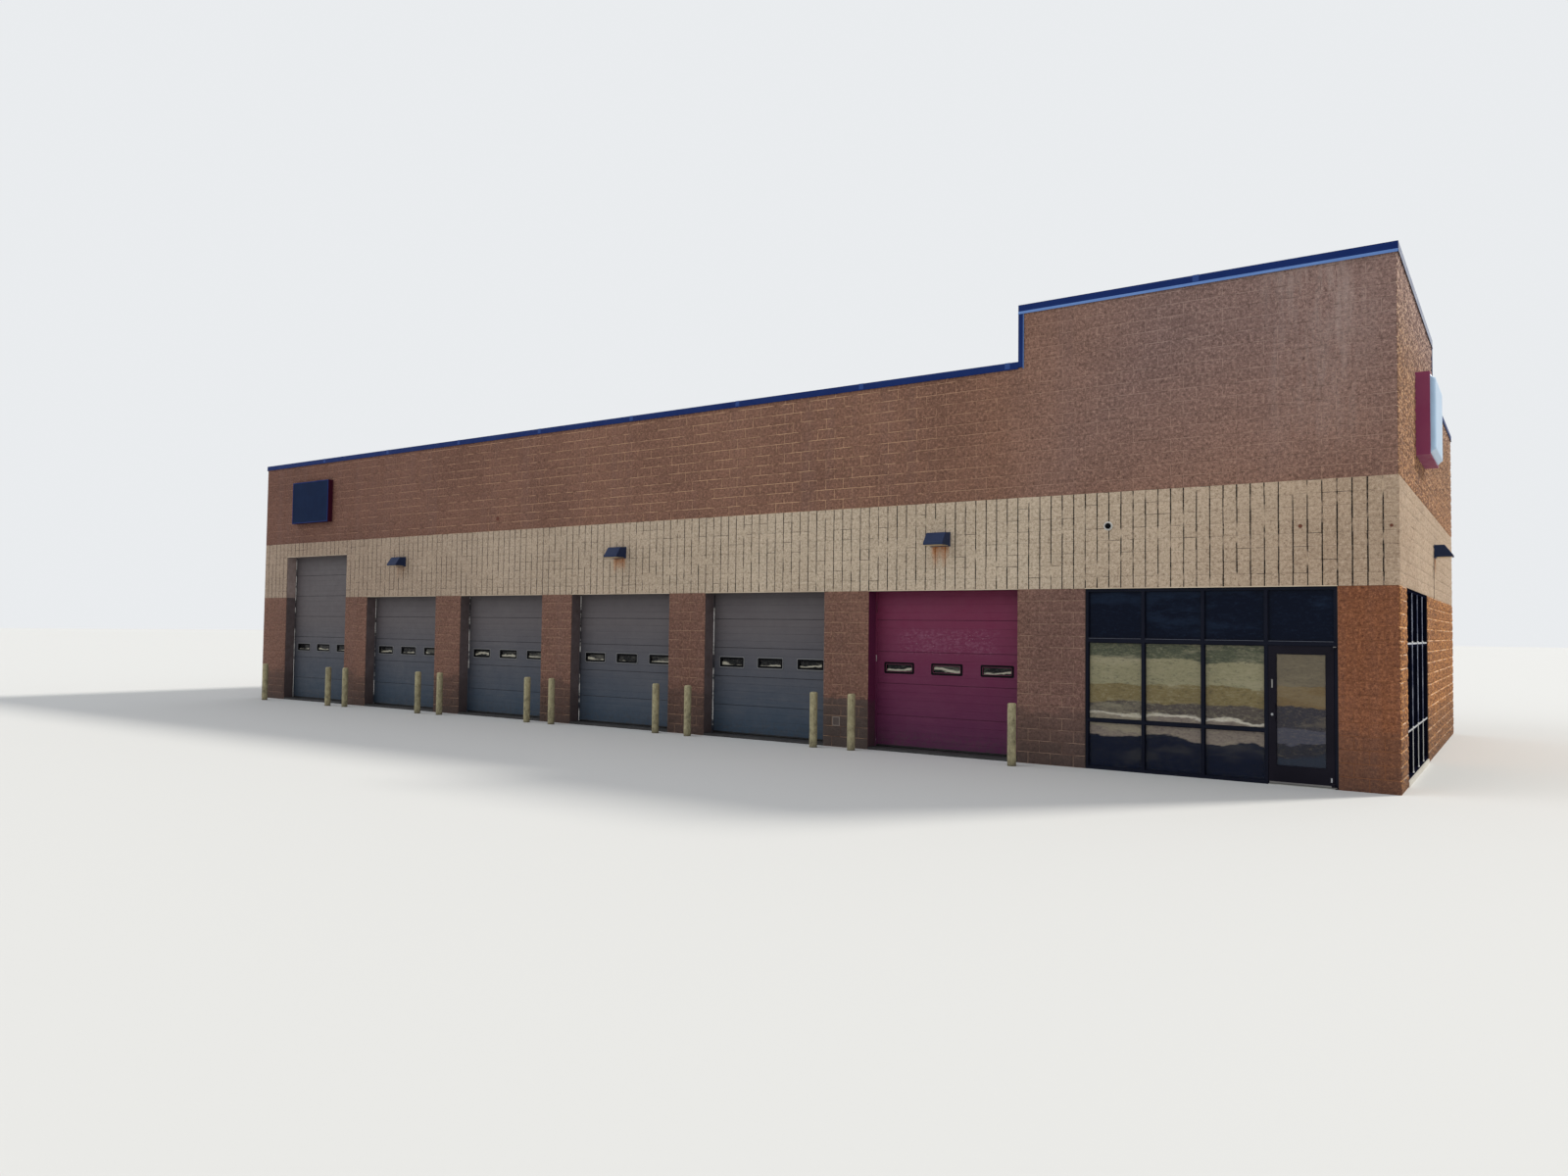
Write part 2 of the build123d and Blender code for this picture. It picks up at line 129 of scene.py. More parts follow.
class Graph:
    """The nodes of one material, made and linked in short calls."""

    def __init__(self, name):
        self.material = bpy.data.materials.new(name)
        self.material.use_nodes = True
        self.nodes = self.material.node_tree.nodes
        self.surface = self.nodes["Principled BSDF"]
        self.place = self.nodes.new("ShaderNodeTexCoord").outputs["Object"]
        self.x, self.y, self.z = self.make("ShaderNodeSeparateXYZ", Vector=self.place).outputs

    def feed(self, socket, value):
        if isinstance(value, bpy.types.NodeSocket):
            self.material.node_tree.links.new(value, socket)
        elif socket.type == "RGBA":
            socket.default_value = (*value, 1.0)
        else:
            socket.default_value = value

    def make(self, kind, **values):
        node = self.nodes.new(kind)
        for name, value in values.items():
            self.feed(node.inputs[name.replace("_", " ")], value)
        return node

    def math(self, operation, a, b):
        node = self.nodes.new("ShaderNodeMath")
        node.operation = operation
        self.feed(node.inputs[0], a)
        self.feed(node.inputs[1], b)
        return node.outputs[0]

    def plus(self, a, b):
        return self.math("ADD", a, b)

    def minus(self, a, b):
        return self.math("SUBTRACT", a, b)

    def times(self, product, *factors):
        for factor in factors:
            product = self.math("MULTIPLY", product, factor)
        return product

    def most(self, a, b):
        return self.math("MAXIMUM", a, b)

    def noise(self, scale, detail=3.0, rough=0.5, stretch=(1, 1, 1)):
        moved = self.nodes.new("ShaderNodeVectorMath")
        moved.operation = "MULTIPLY"
        self.feed(moved.inputs[0], self.place)
        moved.inputs[1].default_value = stretch
        return self.make("ShaderNodeTexNoise", Vector=moved.outputs[0], Scale=scale, Detail=detail,
                         Roughness=rough).outputs["Fac"]

    def fit(self, value, low, high, start=0.0, end=1.0):
        """From start to end while the value goes from low to high."""
        return self.make("ShaderNodeMapRange", Value=value, From_Min=low, From_Max=high,
                         To_Min=start, To_Max=end).outputs[0]

    def inside(self, value, low, high, soft):
        """1 between low and high and 0 outside, with a soft edge."""
        return self.times(self.fit(value, low - soft, low), self.fit(value, high, high + soft, 1.0, 0.0))

    def blend(self, kind, factor, under, over):
        node = self.nodes.new("ShaderNodeMix")
        node.data_type = "RGBA"
        node.blend_type = kind
        for index, value in ((0, factor), (6, under), (7, over)):
            self.feed(node.inputs[index], value)
        return node.outputs[2]

    def mix(self, factor, under, over):
        return self.blend("MIX", factor, light(under), light(over))

    def tint(self, factor, colour, factors):
        return self.blend("MULTIPLY", factor, light(colour), factors)

    def cover(self, colour, over, field, low, high, share=1.0, within=None):
        """Another colour up to a share where a field goes from low to high, within a mask."""
        factor = self.fit(field, low, high, 0.0, share)
        return self.mix(factor if within is None else self.times(within, factor), colour, over)

    def tone(self):
        """The random value that a mesh stores for each of its blocks, from 0 to 1."""
        node = self.nodes.new("ShaderNodeAttribute")
        node.attribute_name = "tone"
        return node.outputs["Fac"]

    def bump(self, height, depth):
        node = self.make("ShaderNodeBump", Height=height, Distance=depth, Strength=1.0)
        self.feed(self.surface.inputs["Normal"], node.outputs[0])

    def finish(self, colour, roughness, **values):
        """The material with its colour and roughness; values are the shader's other sockets."""
        for name, value in {"Base_Color": colour, "Roughness": roughness, **values}.items():
            self.feed(self.surface.inputs[name.replace("_", " ")], value)
        return self.material


# The spot of the front that colours the rear wall, and the half width and fall of a rust run under a lamp,
# partly a painted lamp glow
PLAIN_X = LEFT + 12.95
RUN_GLOW_HALF = 0.15
RUN_GLOW_FALL = 0.34


def along_front(g):
    """X along the front; the whole rear wall takes the value of one plain spot."""
    rear = g.fit(g.y, REAR - 0.01, REAR - 0.002)
    return g.plus(g.times(g.x, g.minus(1.0, rear)), g.times(rear, PLAIN_X))


def sunny_wall(g):
    """1 on the right wall's blocks, which the sun grazes."""
    return g.fit(g.x, RIGHT - 0.006, RIGHT - 0.003)


def below_band(g):
    """1 below the tan band."""
    return g.fit(g.z, DOOR_HEAD + 0.02, DOOR_HEAD)


def grime(g, colour, dirt):
    """The darker foot of the wall: splash-back dirt, least on the pier beside the entry door."""
    ragged = g.plus(g.z, g.fit(g.noise(3.0, 5.0, 0.6), 0.3, 0.7, -0.16, 0.16))
    low = g.plus(g.fit(ragged, 0.86, 1.0, 0.42, 0.0), g.fit(ragged, 0.0, 0.8, 0.4, 0.0))
    share = g.times(low, g.fit(along_front(g), SHOP_RIGHT - 1.0, SHOP_RIGHT, 1.0, 0.65))
    return g.mix(share, colour, dirt)


def streaks(g, colour, dark):
    """Faint runs of dust down the wall, and a washed pale patch near the raised corner."""
    colour = g.cover(colour, dark, g.noise(1.0, 5.0, 0.65, (2.4, 2.4, 0.16)), 0.5, 0.78, 0.3)
    washed = g.times(g.inside(along_front(g), RIGHT - 1.5, RIGHT - 0.7, 0.5), g.fit(g.z, BAND_TOP, TOWER_TOP))
    runs = g.noise(1.0, 6.0, 0.7, (5.0, 5.0, 0.7))
    return g.cover(colour, (186, 168, 160), runs, 0.42, 0.62, 0.5, washed)


def rust(g, colour):
    """Brown-orange runs on the wall under the lamps, which hang over every second door: rust, and a painted
    orange glow from the lamps.
    """
    low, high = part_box("wall_lamps")
    under = 0.0
    for strength, (left, right, _) in zip((0.2, 0.9, 1.0), DOORS[1::2]):
        middle = (left + right) / 2
        under = g.plus(under, g.times(g.inside(g.x, middle - RUN_GLOW_HALF, middle + RUN_GLOW_HALF, 0.05), strength))
    front = g.times(under, g.fit(g.y, FRONT + 0.05, FRONT))
    side = g.times(g.inside(g.y, high.y - 0.35, high.y - 0.05, 0.06), g.fit(g.x, RIGHT - 0.05, RIGHT))
    drop = g.plus(g.z, g.fit(g.noise(9.0, 4.0, 0.6, (1, 1, 0.12)), 0.3, 0.7, 0.16, -0.16))
    fall = g.times(g.fit(drop, low.z - RUN_GLOW_FALL, low.z - 0.02), g.fit(g.z, low.z + 0.02, low.z))
    share = g.times(g.plus(front, side), fall, g.fit(g.noise(30.0, 4.0), 0.35, 0.6, 0.35, 0.85))
    return g.mix(share, colour, (190, 112, 50))


def reveal_paint(g, paint):
    """Patchy jambs and soffits, maroon over the maroon door, and painted shade on the soffit over the side
    window.
    """
    patchy = g.tint(g.fit(g.noise(6.0, 6.0, 0.65), 0.35, 0.7), paint, (0.7, 0.68, 0.68))
    maroon = g.times(g.inside(g.x, MAROON_LEFT, MAROON_RIGHT, 0.003),
                     g.fit(g.z, DOOR_HEAD + 0.003, DOOR_HEAD + 0.001))
    patchy = g.mix(maroon, patchy, (92, 27, 62))
    # Painted shade on the soffit over the side window.
    soffit_shade = g.times(g.inside(g.y, WINDOW_NEAR, WINDOW_FAR, 0.003), g.fit(g.x, RIGHT_IN - 0.01, RIGHT_IN),
                     g.inside(g.z, DOOR_HEAD - 0.002, DOOR_HEAD + 0.002, 0.001))
    return grime(g, g.mix(soffit_shade, patchy, (34, 30, 32)), (66, 56, 56))


def inner_faces(g, outer, reveal):
    """The openings' jambs and soffits behind the front face, and the painted inner side of the walls."""
    outside = g.most(g.fit(g.x, RIGHT - 0.004, RIGHT - 0.001),
                     g.most(g.fit(g.y, REAR - 0.004, REAR - 0.001), g.fit(g.x, LEFT + 0.004, LEFT + 0.001)))
    colour = g.cover(outer, g.mix(outside, reveal, outer), g.y, FRONT + 0.002, FRONT + 0.006)
    within = g.times(g.inside(g.x, LEFT_IN - 0.004, RIGHT_IN + 0.004, 0.002),
                     g.inside(g.y, FRONT_IN - 0.004, REAR_IN + 0.004, 0.002))
    return g.mix(within, colour, (176, 172, 160))


def painted_sun_facets(g, colour):
    """Painted sunlight and shade on the right wall's blocks: pale lit facets and dark shaded facets."""
    sunny = sunny_wall(g)
    facets = g.noise(26.0, 3.0, 0.6, (1, 0.5, 1))
    colour = g.cover(colour, (236, 208, 186), facets, 0.52, 0.60, 0.6, sunny)
    return g.cover(colour, (60, 42, 36), facets, 0.49, 0.41, 0.55, sunny)


def painted_sunlit_edges(g, colour):
    """Broken pale lines of painted sunlight on the upper edges of the right wall's blocks."""
    edge = g.fit(g.math("MODULO", g.z, COURSE), COURSE - 0.022, COURSE - 0.014)
    broken = g.fit(g.noise(1.0, 5.0, 0.75, (1.0, 1.6, 4.9)), 0.48, 0.56, 0.0, 0.7)
    return g.mix(g.times(sunny_wall(g), g.times(edge, broken)), colour, (240, 216, 190))


def block_colour(g, brown, pale, dark, fleck, pit, spread):
    """Paint over rough block: wide patches, a shade for each row and block, flecks and pits."""
    colour = g.cover(pale, dark, g.noise(0.45, 5.0, 0.6), 0.35, 0.68)
    rows = g.fit(g.noise(1.0, 3.0, 0.6, (0.35, 0.35, 4.9)), 0.3, 0.7, -0.05, 0.05)
    shade = g.plus(rows, g.fit(g.tone(), 0.0, 1.0, 1.0 - spread, 1.0 + spread))
    colour = g.tint(1.0, colour, g.make("ShaderNodeCombineXYZ", X=shade, Y=shade, Z=shade).outputs[0])
    lumps = g.noise(19.0, 6.0, 0.8)
    colour = g.cover(colour, fleck, lumps, 0.52, 0.63, 0.75)
    colour = g.cover(colour, pit, lumps, 0.48, 0.36, 0.85)
    if brown:
        colour = painted_sun_facets(g, colour)
    grain = g.noise(60.0, 5.0, 0.75)
    colour = g.cover(colour, fleck, grain, 0.53, 0.68, 0.5)
    return g.cover(colour, pit, grain, 0.47, 0.32, 0.7)


def brown_tints(g, colour):
    """The brown paint: warm at the shop corner, duller on the piers and to the left; on the right wall, a
    tint of painted warm sunlight.
    """
    base = below_band(g)
    along = along_front(g)
    warm = g.most(g.fit(along, TOWER_LEFT + 2.5, TOWER_LEFT - 0.5),
                  g.fit(g.z, TOWER_TOP - 1.0, BAND_TOP, 0.0, 0.7))
    upper_left = g.times(g.fit(along, TOWER_LEFT, LEFT), g.minus(1.0, base))
    left_of_shop = g.times(base, g.fit(along, SHOP_LEFT + 0.1, SHOP_LEFT))
    beside_entry = g.times(base, g.fit(along, SHOP_RIGHT - 0.1, SHOP_RIGHT))
    for mask, factors in ((warm, (1.03, 0.85, 0.66)), (upper_left, (0.64, 0.59, 0.64)),
                          (left_of_shop, (0.78, 0.77, 0.83)), (beside_entry, (1.00, 0.68, 0.43))):
        colour = g.tint(mask, colour, factors)
    # Painted warm sunlight on the right wall, from its foot to its top.
    painted_sun_tint_upper = g.blend("MIX", g.fit(g.z, BAND_TOP + 1.6, TOWER_TOP),
                          (1.01, 0.84, 0.59), (1.10, 1.08, 1.12))
    return g.tint(sunny_wall(g), colour, g.blend("MIX", base, painted_sun_tint_upper, (1.09, 1.12, 0.79)))


def tan_tints(g, colour):
    """The tan paint is duller and pinker towards the left end, and browner at the corner."""
    along = along_front(g)
    colour = g.tint(g.fit(along, TOWER_LEFT - 4.0, LEFT + 3.0), colour, (0.68, 0.63, 0.64))
    return g.tint(g.fit(along, TOWER_LEFT, SHOP_RIGHT), colour, (0.86, 0.79, 0.76))


def repainted_pier(g, colour):
    """The foot of the pier between the last two doors, painted over in a greyer brown."""
    edge = g.plus(g.z, g.fit(g.noise(7.0), 0.3, 0.7, -0.03, 0.03))
    pier = g.inside(along_front(g), DOORS[-2][1], MAROON_LEFT, 0.01)
    return g.mix(g.times(pier, g.fit(edge, 0.96, 0.94), 0.6), colour, (84, 76, 72))


def split_block(name, pale, dark, fleck, pit, dirt, spread):
    """The rough faces of the brown or the tan blocks; spread is how much their shades differ."""
    g = Graph(name)
    brown = name.startswith("brown")
    colour = block_colour(g, brown, pale, dark, fleck, pit, spread)
    colour = painted_sunlit_edges(g, brown_tints(g, colour)) if brown else tan_tints(g, colour)
    colour = rust(g, grime(g, streaks(g, colour, dark), dirt))
    g.bump(g.plus(g.noise(26.0, 8.0, 0.75), g.times(g.noise(150.0, 3.0), 0.25)), 0.022)
    return g.finish(repainted_pier(g, colour), 0.92, Specular_IOR_Level=0.25)


def wall_core(name, joint, sunny, reveal, dark_runs_and_groove_shade, run_shape, run_share):
    """The wall behind the blocks: mortar in the joints, smooth jambs, inner faces."""
    g = Graph(name)
    base = below_band(g)
    along = along_front(g)
    clear = g.times(g.fit(along, TOWER_LEFT, TOWER_LEFT - 4.0, 0.0, 0.8),
                    g.fit(along, LEFT, LEFT + 10.0, 0.25, 1.0))
    shop_pier = g.times(base, g.inside(along, MAROON_RIGHT, SHOP_LEFT, 0.01))
    joint = g.mix(g.most(clear, g.times(shop_pier, 0.6)), joint, sunny)
    faint = g.times(base, g.fit(along, SHOP_RIGHT - 0.1, SHOP_RIGHT, 0.4, 0.65))
    joint = g.mix(faint, joint, dark_runs_and_groove_shade)
    # On the right wall the joints take the pale colour as a painted sunlit highlight.
    joint = g.cover(joint, sunny, g.x, RIGHT - 0.02, RIGHT - 0.01)
    colour = g.cover(joint, dark_runs_and_groove_shade, g.noise(1.0, 3.0, 0.6, run_shape), *run_share)
    colour = g.cover(colour, joint, g.noise(40.0, 5.0), 0.45, 0.75, 0.25)
    colour = brown_tints(g, colour) if name.startswith("brown") else tan_tints(g, colour)
    line = g.fit(g.math("PINGPONG", g.z, COURSE / 2), 0.0, 0.004, 0.0, 0.8)
    g.bump(g.plus(g.times(g.noise(120.0, 6.0, 0.7), 0.5), line), 0.004)
    return g.finish(inner_faces(g, rust(g, colour), reveal_paint(g, reveal)), 0.9, Specular_IOR_Level=0.25)


def scuffs(g, colour):
    """A worn patch in the middle of the maroon door: a pale haze and small chips."""
    middle = (MAROON_LEFT + MAROON_RIGHT) / 2
    zone = g.times(g.inside(g.x, middle - 0.85, middle + 0.85, 0.25), g.inside(g.z, 1.93, 2.25, 0.12))
    haze = g.noise(11.0, 7.0, 0.75, (1, 1, 2.2))
    chips = g.noise(30.0, 4.0, 0.7, (1, 1, 3.0))
    colour = g.cover(colour, (140, 88, 110), haze, 0.48, 0.66, 0.6, zone)
    return g.cover(colour, (206, 184, 188), chips, 0.655, 0.68, 1.0, zone)


def satin_paint(name, upper, lower, top, dust, scuffed=False):
    """Door paint that shades from one colour at the top to another at the bottom."""
    g = Graph(name)
    colour = g.cover(lower, upper, g.z, 0.1, top)
    colour = g.cover(colour, dust, g.noise(0.8, 5.0, 0.65), 0.4, 0.75, 0.22)
    colour = g.cover(colour, dust, g.noise(1.0, 6.0, 0.7, (0.9, 0.9, 14.0)), 0.52, 0.75, 0.22)
    splash = g.times(g.fit(g.z, 0.5, 0.06), g.fit(g.noise(14.0, 5.0), 0.4, 0.7), 0.6)
    colour = g.mix(splash, colour, (60, 54, 52))
    if scuffed:
        colour = scuffs(g, colour)
    g.bump(g.plus(g.noise(260.0, 3.0), g.times(g.noise(3.0, 2.0), 3.0)), 0.0012)
    return g.finish(colour, g.fit(g.noise(5.0, 4.0), 0.3, 0.7, 0.48, 0.66), Specular_IOR_Level=0.25)


def metal(name, main, worn, roughness, metallic=0.0, grain=(1, 1, 1), wear=0.3, gloss=0.3):
    """Painted or bare metal with soft patches, fine grain and rubbed spots."""
    g = Graph(name)
    colour = g.cover(main, worn, g.noise(1.6, 5.0, 0.6), 0.35, 0.7, wear)
    colour = g.cover(colour, worn, g.noise(42.0, 6.0, 0.75, grain), 0.62, 0.74, wear)
    g.bump(g.noise(90.0, 4.0, 0.6, grain), 0.0006)
    return g.finish(colour, g.fit(g.noise(7.0, 5.0), 0.3, 0.7, roughness - 0.08, roughness + 0.1),
                    Metallic=metallic, Specular_IOR_Level=gloss)


def lit_and_shaded_strip(name, pale, dull, start, end, roughness):
    """Pale plastic or metal trim that dulls in long stretches, where a noise goes from start to end: painted
    light and painted shade over the trim's own colour.
    """
    g = Graph(name)
    colour = g.cover(pale, dull, g.noise(2.3, 4.0, 0.7), start, end)
    colour = g.cover(colour, dull, g.noise(40.0, 5.0, 0.7), 0.5, 0.7, 0.4)
    g.bump(g.noise(60.0, 4.0), 0.0006)
    return g.finish(colour, roughness, Specular_IOR_Level=0.3)


def glass(name, reflection_layers, dust_and_reflection, share, gloss, alpha=0.9):
    """Dark glass in bands of painted reflection given as (colour, its top), from the ground up, under patches
    of dust that also paint reflected light.
    """
    g = Graph(name)
    soft = 0.012
    level = g.plus(g.z, g.fit(g.noise(1.0, 4.0, 0.6, (1.1, 1.1, 2.5)), 0.3, 0.7, -0.07, 0.07))
    colour, lowest = reflection_layers[0]
    for (_, top), (above, _) in zip(reflection_layers, reflection_layers[1:]):
        colour = g.cover(colour, above, level, top - soft, top + soft)
    dust_and_reflection_share = g.fit(level, lowest - soft, lowest + soft, 0.12 * share, share)
    film_patches = g.noise(1.0, 5.0, 0.6, (0.9, 0.9, 3.4))
    grain = g.noise(1.0, 6.0, 0.8, (13.0, 13.0, 32.0))
    colour = g.cover(colour, dust_and_reflection, film_patches, 0.52, 0.62, 1.0, dust_and_reflection_share)
    colour = g.cover(colour, dust_and_reflection, grain, 0.52, 0.66, 1.0, dust_and_reflection_share)
    colour = g.cover(colour, reflection_layers[0][0], grain, 0.47, 0.36, 1.0, dust_and_reflection_share)
    g.bump(g.noise(0.5, 0.0), 0.004)
    return g.finish(colour, g.fit(g.noise(3.0, 5.0, 0.7), 0.4, 0.8, 0.02, 0.09), Alpha=alpha,
                    Specular_IOR_Level=gloss)


def bollard_finish(name):
    """Old cream-yellow paint with chips, rust specks, tyre rub and a dirty foot."""
    g = Graph(name)
    colour = g.cover((170, 160, 124), (144, 136, 107), g.noise(2.0, 5.0, 0.6), 0.35, 0.7)
    blots = g.noise(16.0, 6.0, 0.78, (1, 1, 0.55))
    colour = g.cover(colour, (196, 186, 150), blots, 0.52, 0.66, 0.7)
    colour = g.cover(colour, (96, 86, 66), blots, 0.46, 0.34, 0.8)
    chips = g.fit(g.noise(30.0, 6.0, 0.8), 0.6, 0.64)
    colour = g.mix(chips, colour, (64, 54, 44))
    rub = g.times(g.inside(g.z, 0.18, 0.62, 0.12), g.fit(g.noise(6.0, 6.0, 0.7), 0.48, 0.64), 0.55)
    colour = g.mix(rub, colour, (86, 80, 64))
    colour = g.cover(colour, (76, 68, 56), g.z, 0.16, 0.0, 0.6)
    g.bump(g.minus(g.noise(28.0, 6.0, 0.7), g.times(chips, 0.3)), 0.006)
    return g.finish(colour, 0.72, Specular_IOR_Level=0.3)


def concrete_finish(name, pale, dark, cut_pitch=2.286):
    """Trowelled concrete with saw cuts, near black along the vehicle doors with dirt and painted shade in the
    recess.
    """
    g = Graph(name)
    colour = g.cover(pale, dark, g.noise(0.6, 6.0, 0.65), 0.35, 0.7)
    colour = g.cover(colour, (92, 86, 78), g.noise(80.0, 4.0, 0.7), 0.58, 0.72, 0.4)
    saw_cuts = g.math("MINIMUM", g.math("PINGPONG", g.x, cut_pitch), g.math("PINGPONG", g.y, cut_pitch))
    colour = g.mix(g.fit(saw_cuts, 0.002, 0.005, 0.7, 0.0), colour, (52, 48, 44))
    # Painted shade and dirt on the floor along the door recesses.
    dirt_and_recess_shade = g.times(g.fit(g.y, FRONT_IN + 0.1, FRONT_IN), g.fit(g.x, RIGHT - 0.02, RIGHT - 0.03), 0.95)
    colour = g.mix(dirt_and_recess_shade, colour, (30, 29, 32))
    g.bump(g.noise(150.0, 5.0, 0.7), 0.002)
    return g.finish(colour, g.fit(g.noise(4.0, 4.0), 0.3, 0.7, 0.55, 0.85))


def plastic(name, main, worn, roughness, **values):
    """Moulded or rolled sheet with worn patches and faint runs."""
    g = Graph(name)
    colour = g.cover(main, worn, g.noise(2.4, 6.0, 0.65), 0.42, 0.75, 0.45)
    colour = g.cover(colour, worn, g.noise(1.0, 5.0, 0.7, (9.0, 9.0, 0.7)), 0.55, 0.75, 0.3)
    g.bump(g.noise(1.1, 3.0), 0.006)
    return g.finish(colour, roughness, **values)


BROWN = split_block("brown_split_block", (143, 115, 107), (124, 98, 92), (186, 156, 144), (72, 54, 50),
                    (66, 58, 55), 0.06)
TAN = split_block("tan_scored_block", (207, 188, 164), (192, 172, 148), (228, 212, 190), (132, 112, 92),
                  (120, 104, 88), 0.05)
# The brown joints' pale colour is mortar on the front and painted sunlight on the right wall.
BROWN_CORE = wall_core("brown_joints", (172, 146, 136), (240, 216, 190), (102, 90, 90), (112, 90, 82),
                       (2.6, 2.6, 4.9), (0.47, 0.6))
# The tan joints' near-black runs in the score grooves are painted shade as well as dirt.
TAN_CORE = wall_core("tan_joints", (206, 188, 164), (206, 188, 164), (166, 148, 142), (18, 14, 14),
                     (4.9, 4.9, 2.2), (0.36, 0.46))
GREY_DOOR = satin_paint("grey_door", (90, 84, 86), (47, 65, 82), 2.4, (112, 108, 108))
# The door bodies seen through the skins' seams are painted darker than the doors: painted shade in the gaps.
GREY_SEAM_SHADE = metal("grey_door_seam_shade", (30, 31, 36), (44, 45, 50), 0.7)
MAROON_DOOR = satin_paint("maroon_door", (112, 36, 67), (76, 24, 62), 2.6, (118, 62, 86), True)
MAROON_SEAM_SHADE = metal("maroon_door_seam_shade", (80, 27, 54), (90, 36, 62), 0.7)
NAVY = metal("navy_coping", (12, 36, 92), (28, 56, 116), 0.55, gloss=0.1)
NAVY_COVER = metal("navy_cover_plate", (34, 62, 122), (54, 82, 140), 0.5, gloss=0.15)
NAVY_SUNNY = metal("sunny_coping", (16, 38, 92), (40, 66, 122), 0.22, gloss=0.6)
# Painted sky reflection: the drip edge and the step's edge strip are pale blue.
NAVY_DRIP_REFLECTION = metal("navy_drip_edge_sky_reflection", (88, 124, 184), (116, 148, 198), 0.45)
BRONZE = metal("dark_frame", (14, 17, 30), (30, 34, 48), 0.45, 0.0, (1, 1, 0.1), gloss=0.08)
LEAF_BRONZE = metal("door_frame", (16, 14, 24), (36, 32, 44), 0.45, 0.0, (1, 1, 0.1), gloss=0.1)
STEEL = metal("steel_hardware", (120, 118, 116), (168, 164, 158), 0.34, 0.9)
# Bright metal; on the side window's rails its brightness is a painted highlight.
BRIGHT = metal("bright_trim", (176, 178, 180), (120, 120, 120), 0.3, 0.4)
# Painted sky reflection on the side window's uprights.
SIDE_TRIM_SKY_REFLECTION = lit_and_shaded_strip("blue_grey_trim_sky_reflection", (196, 202, 220), (92, 98, 130), 0.40, 0.60, 0.4)
# Bare metal, made whiter with painted sunlight.
BARE_TRIM = metal("bare_trim", (240, 240, 236), (190, 190, 190), 0.4)
SIDE_BRONZE = metal("side_frame", (12, 14, 28), (24, 28, 44), 0.85, gloss=0.0)
# The pale strip along the transom is a painted reflection.
TRANSOM_GLINT = metal("transom_glint", (104, 108, 120), (64, 66, 76), 0.4, 0.2)
RED_BOX = metal("red_sign_box", (142, 64, 100), (158, 92, 120), 0.55, gloss=0.15)
# A shaded copy of the red sign box: the front sign's darker red is painted shade.
SHADED_RED_BOX = metal("shaded_red_sign_box", (60, 16, 34), (76, 30, 46), 0.6, gloss=0.08)
LAMP_METAL = metal("lamp_metal", (36, 46, 74), (62, 74, 104), 0.55, gloss=0.12)
RUBBER = metal("black_rubber", (22, 21, 22), (52, 50, 48), 0.75)
# The vinyl's dark stretches are painted shadow in the gap behind the strip.
VINYL = lit_and_shaded_strip("pale_vinyl", (240, 236, 230), (52, 48, 50), 0.47, 0.55, 0.6)
WINDOW_BLACK = metal("black_window_frame", (6, 6, 9), (20, 20, 24), 0.5, gloss=0.06)
RIM_GREY = metal("pale_window_rim", (134, 134, 134), (104, 104, 106), 0.6, gloss=0.15)
RIM_PINK = metal("pink_window_line", (112, 50, 76), (80, 30, 54), 0.55)
BAND_LIP = metal("pale_lintel_edge", (216, 200, 176), (160, 138, 114), 0.8, wear=0.6)
CAULK = metal("dark_sealant", (62, 52, 46), (96, 84, 74), 0.8)
PLATE = metal("painted_plate", (84, 74, 70), (108, 96, 90), 0.75)
PLATE_EDGE = metal("worn_plate_edge", (138, 126, 118), (100, 90, 84), 0.7)
RUSTY = metal("rusted_plug", (98, 56, 44), (128, 82, 58), 0.85)
# The glass colours by height are painted reflections; the upper row's opaque dark is a painted dark
# reflection.
UPPER_GLASS = glass("transom_glass", [((9, 16, 32), 0.0)], (30, 44, 64), 0.4, 0.06, 1.0)
SHOP_GLASS = glass("shop_glass", [((8, 18, 40), 0.60), ((130, 118, 108), 0.90), ((206, 198, 182), 0.94),
                                  ((84, 76, 70), 1.14), ((122, 108, 72), 1.45), ((142, 136, 106), 1.86),
                                  ((80, 84, 66), 3.0)], (166, 158, 130), 0.42, 0.2)
ENTRY_GLASS = glass("entry_glass", [((24, 36, 54), 0.46), ((22, 24, 38), 0.62), ((70, 70, 82), 0.86),
                                    ((46, 43, 52), 1.20), ((112, 92, 60), 1.55), ((104, 94, 76), 3.0)],
                    (140, 128, 102), 0.25, 0.3)
# The pale band at 1.5 m across the small door windows is a painted reflection.
DOOR_GLASS = glass("small_pane_glass", [((10, 12, 16), 1.50), ((186, 180, 162), 1.545), ((14, 16, 20), 3.0)],
                   (168, 164, 150), 0.22, 0.12, 0.96)
SIDE_GLASS = glass("side_glass", [((20, 26, 38), 2.2), ((28, 36, 52), 4.0)], (64, 74, 92), 0.2, 0.15)
CONCRETE = concrete_finish("concrete", (132, 124, 114), (104, 98, 92))
SILL = concrete_finish("pale_sill", (206, 202, 192), (182, 176, 164))
MEMBRANE = plastic("roof_membrane", (196, 194, 186), (138, 134, 126), 0.8)
LAP = plastic("roof_laps", (176, 173, 164), (126, 122, 114), 0.8)
DARK_FACE = plastic("dark_sign_face", (9, 28, 59), (20, 42, 76), 0.4, Specular_IOR_Level=0.03)
WHITE_FACE = plastic("white_sign_face", (166, 194, 220), (146, 170, 194), 0.3, Specular_IOR_Level=0.3)
WHITE_CAP = plastic("white_fixture", (206, 204, 198), (150, 142, 130), 0.4)
LENS = plastic("lamp_lens", (196, 176, 138), (140, 112, 78), 0.3)
BOLLARD_PAINT = bollard_finish("bollard_paint")
THRESHOLD = metal("mill_threshold", (176, 176, 170), (110, 108, 102), 0.4, 0.8, (0.1, 1, 1))


# How near two points of a mesh are joined
WELD = 1e-5


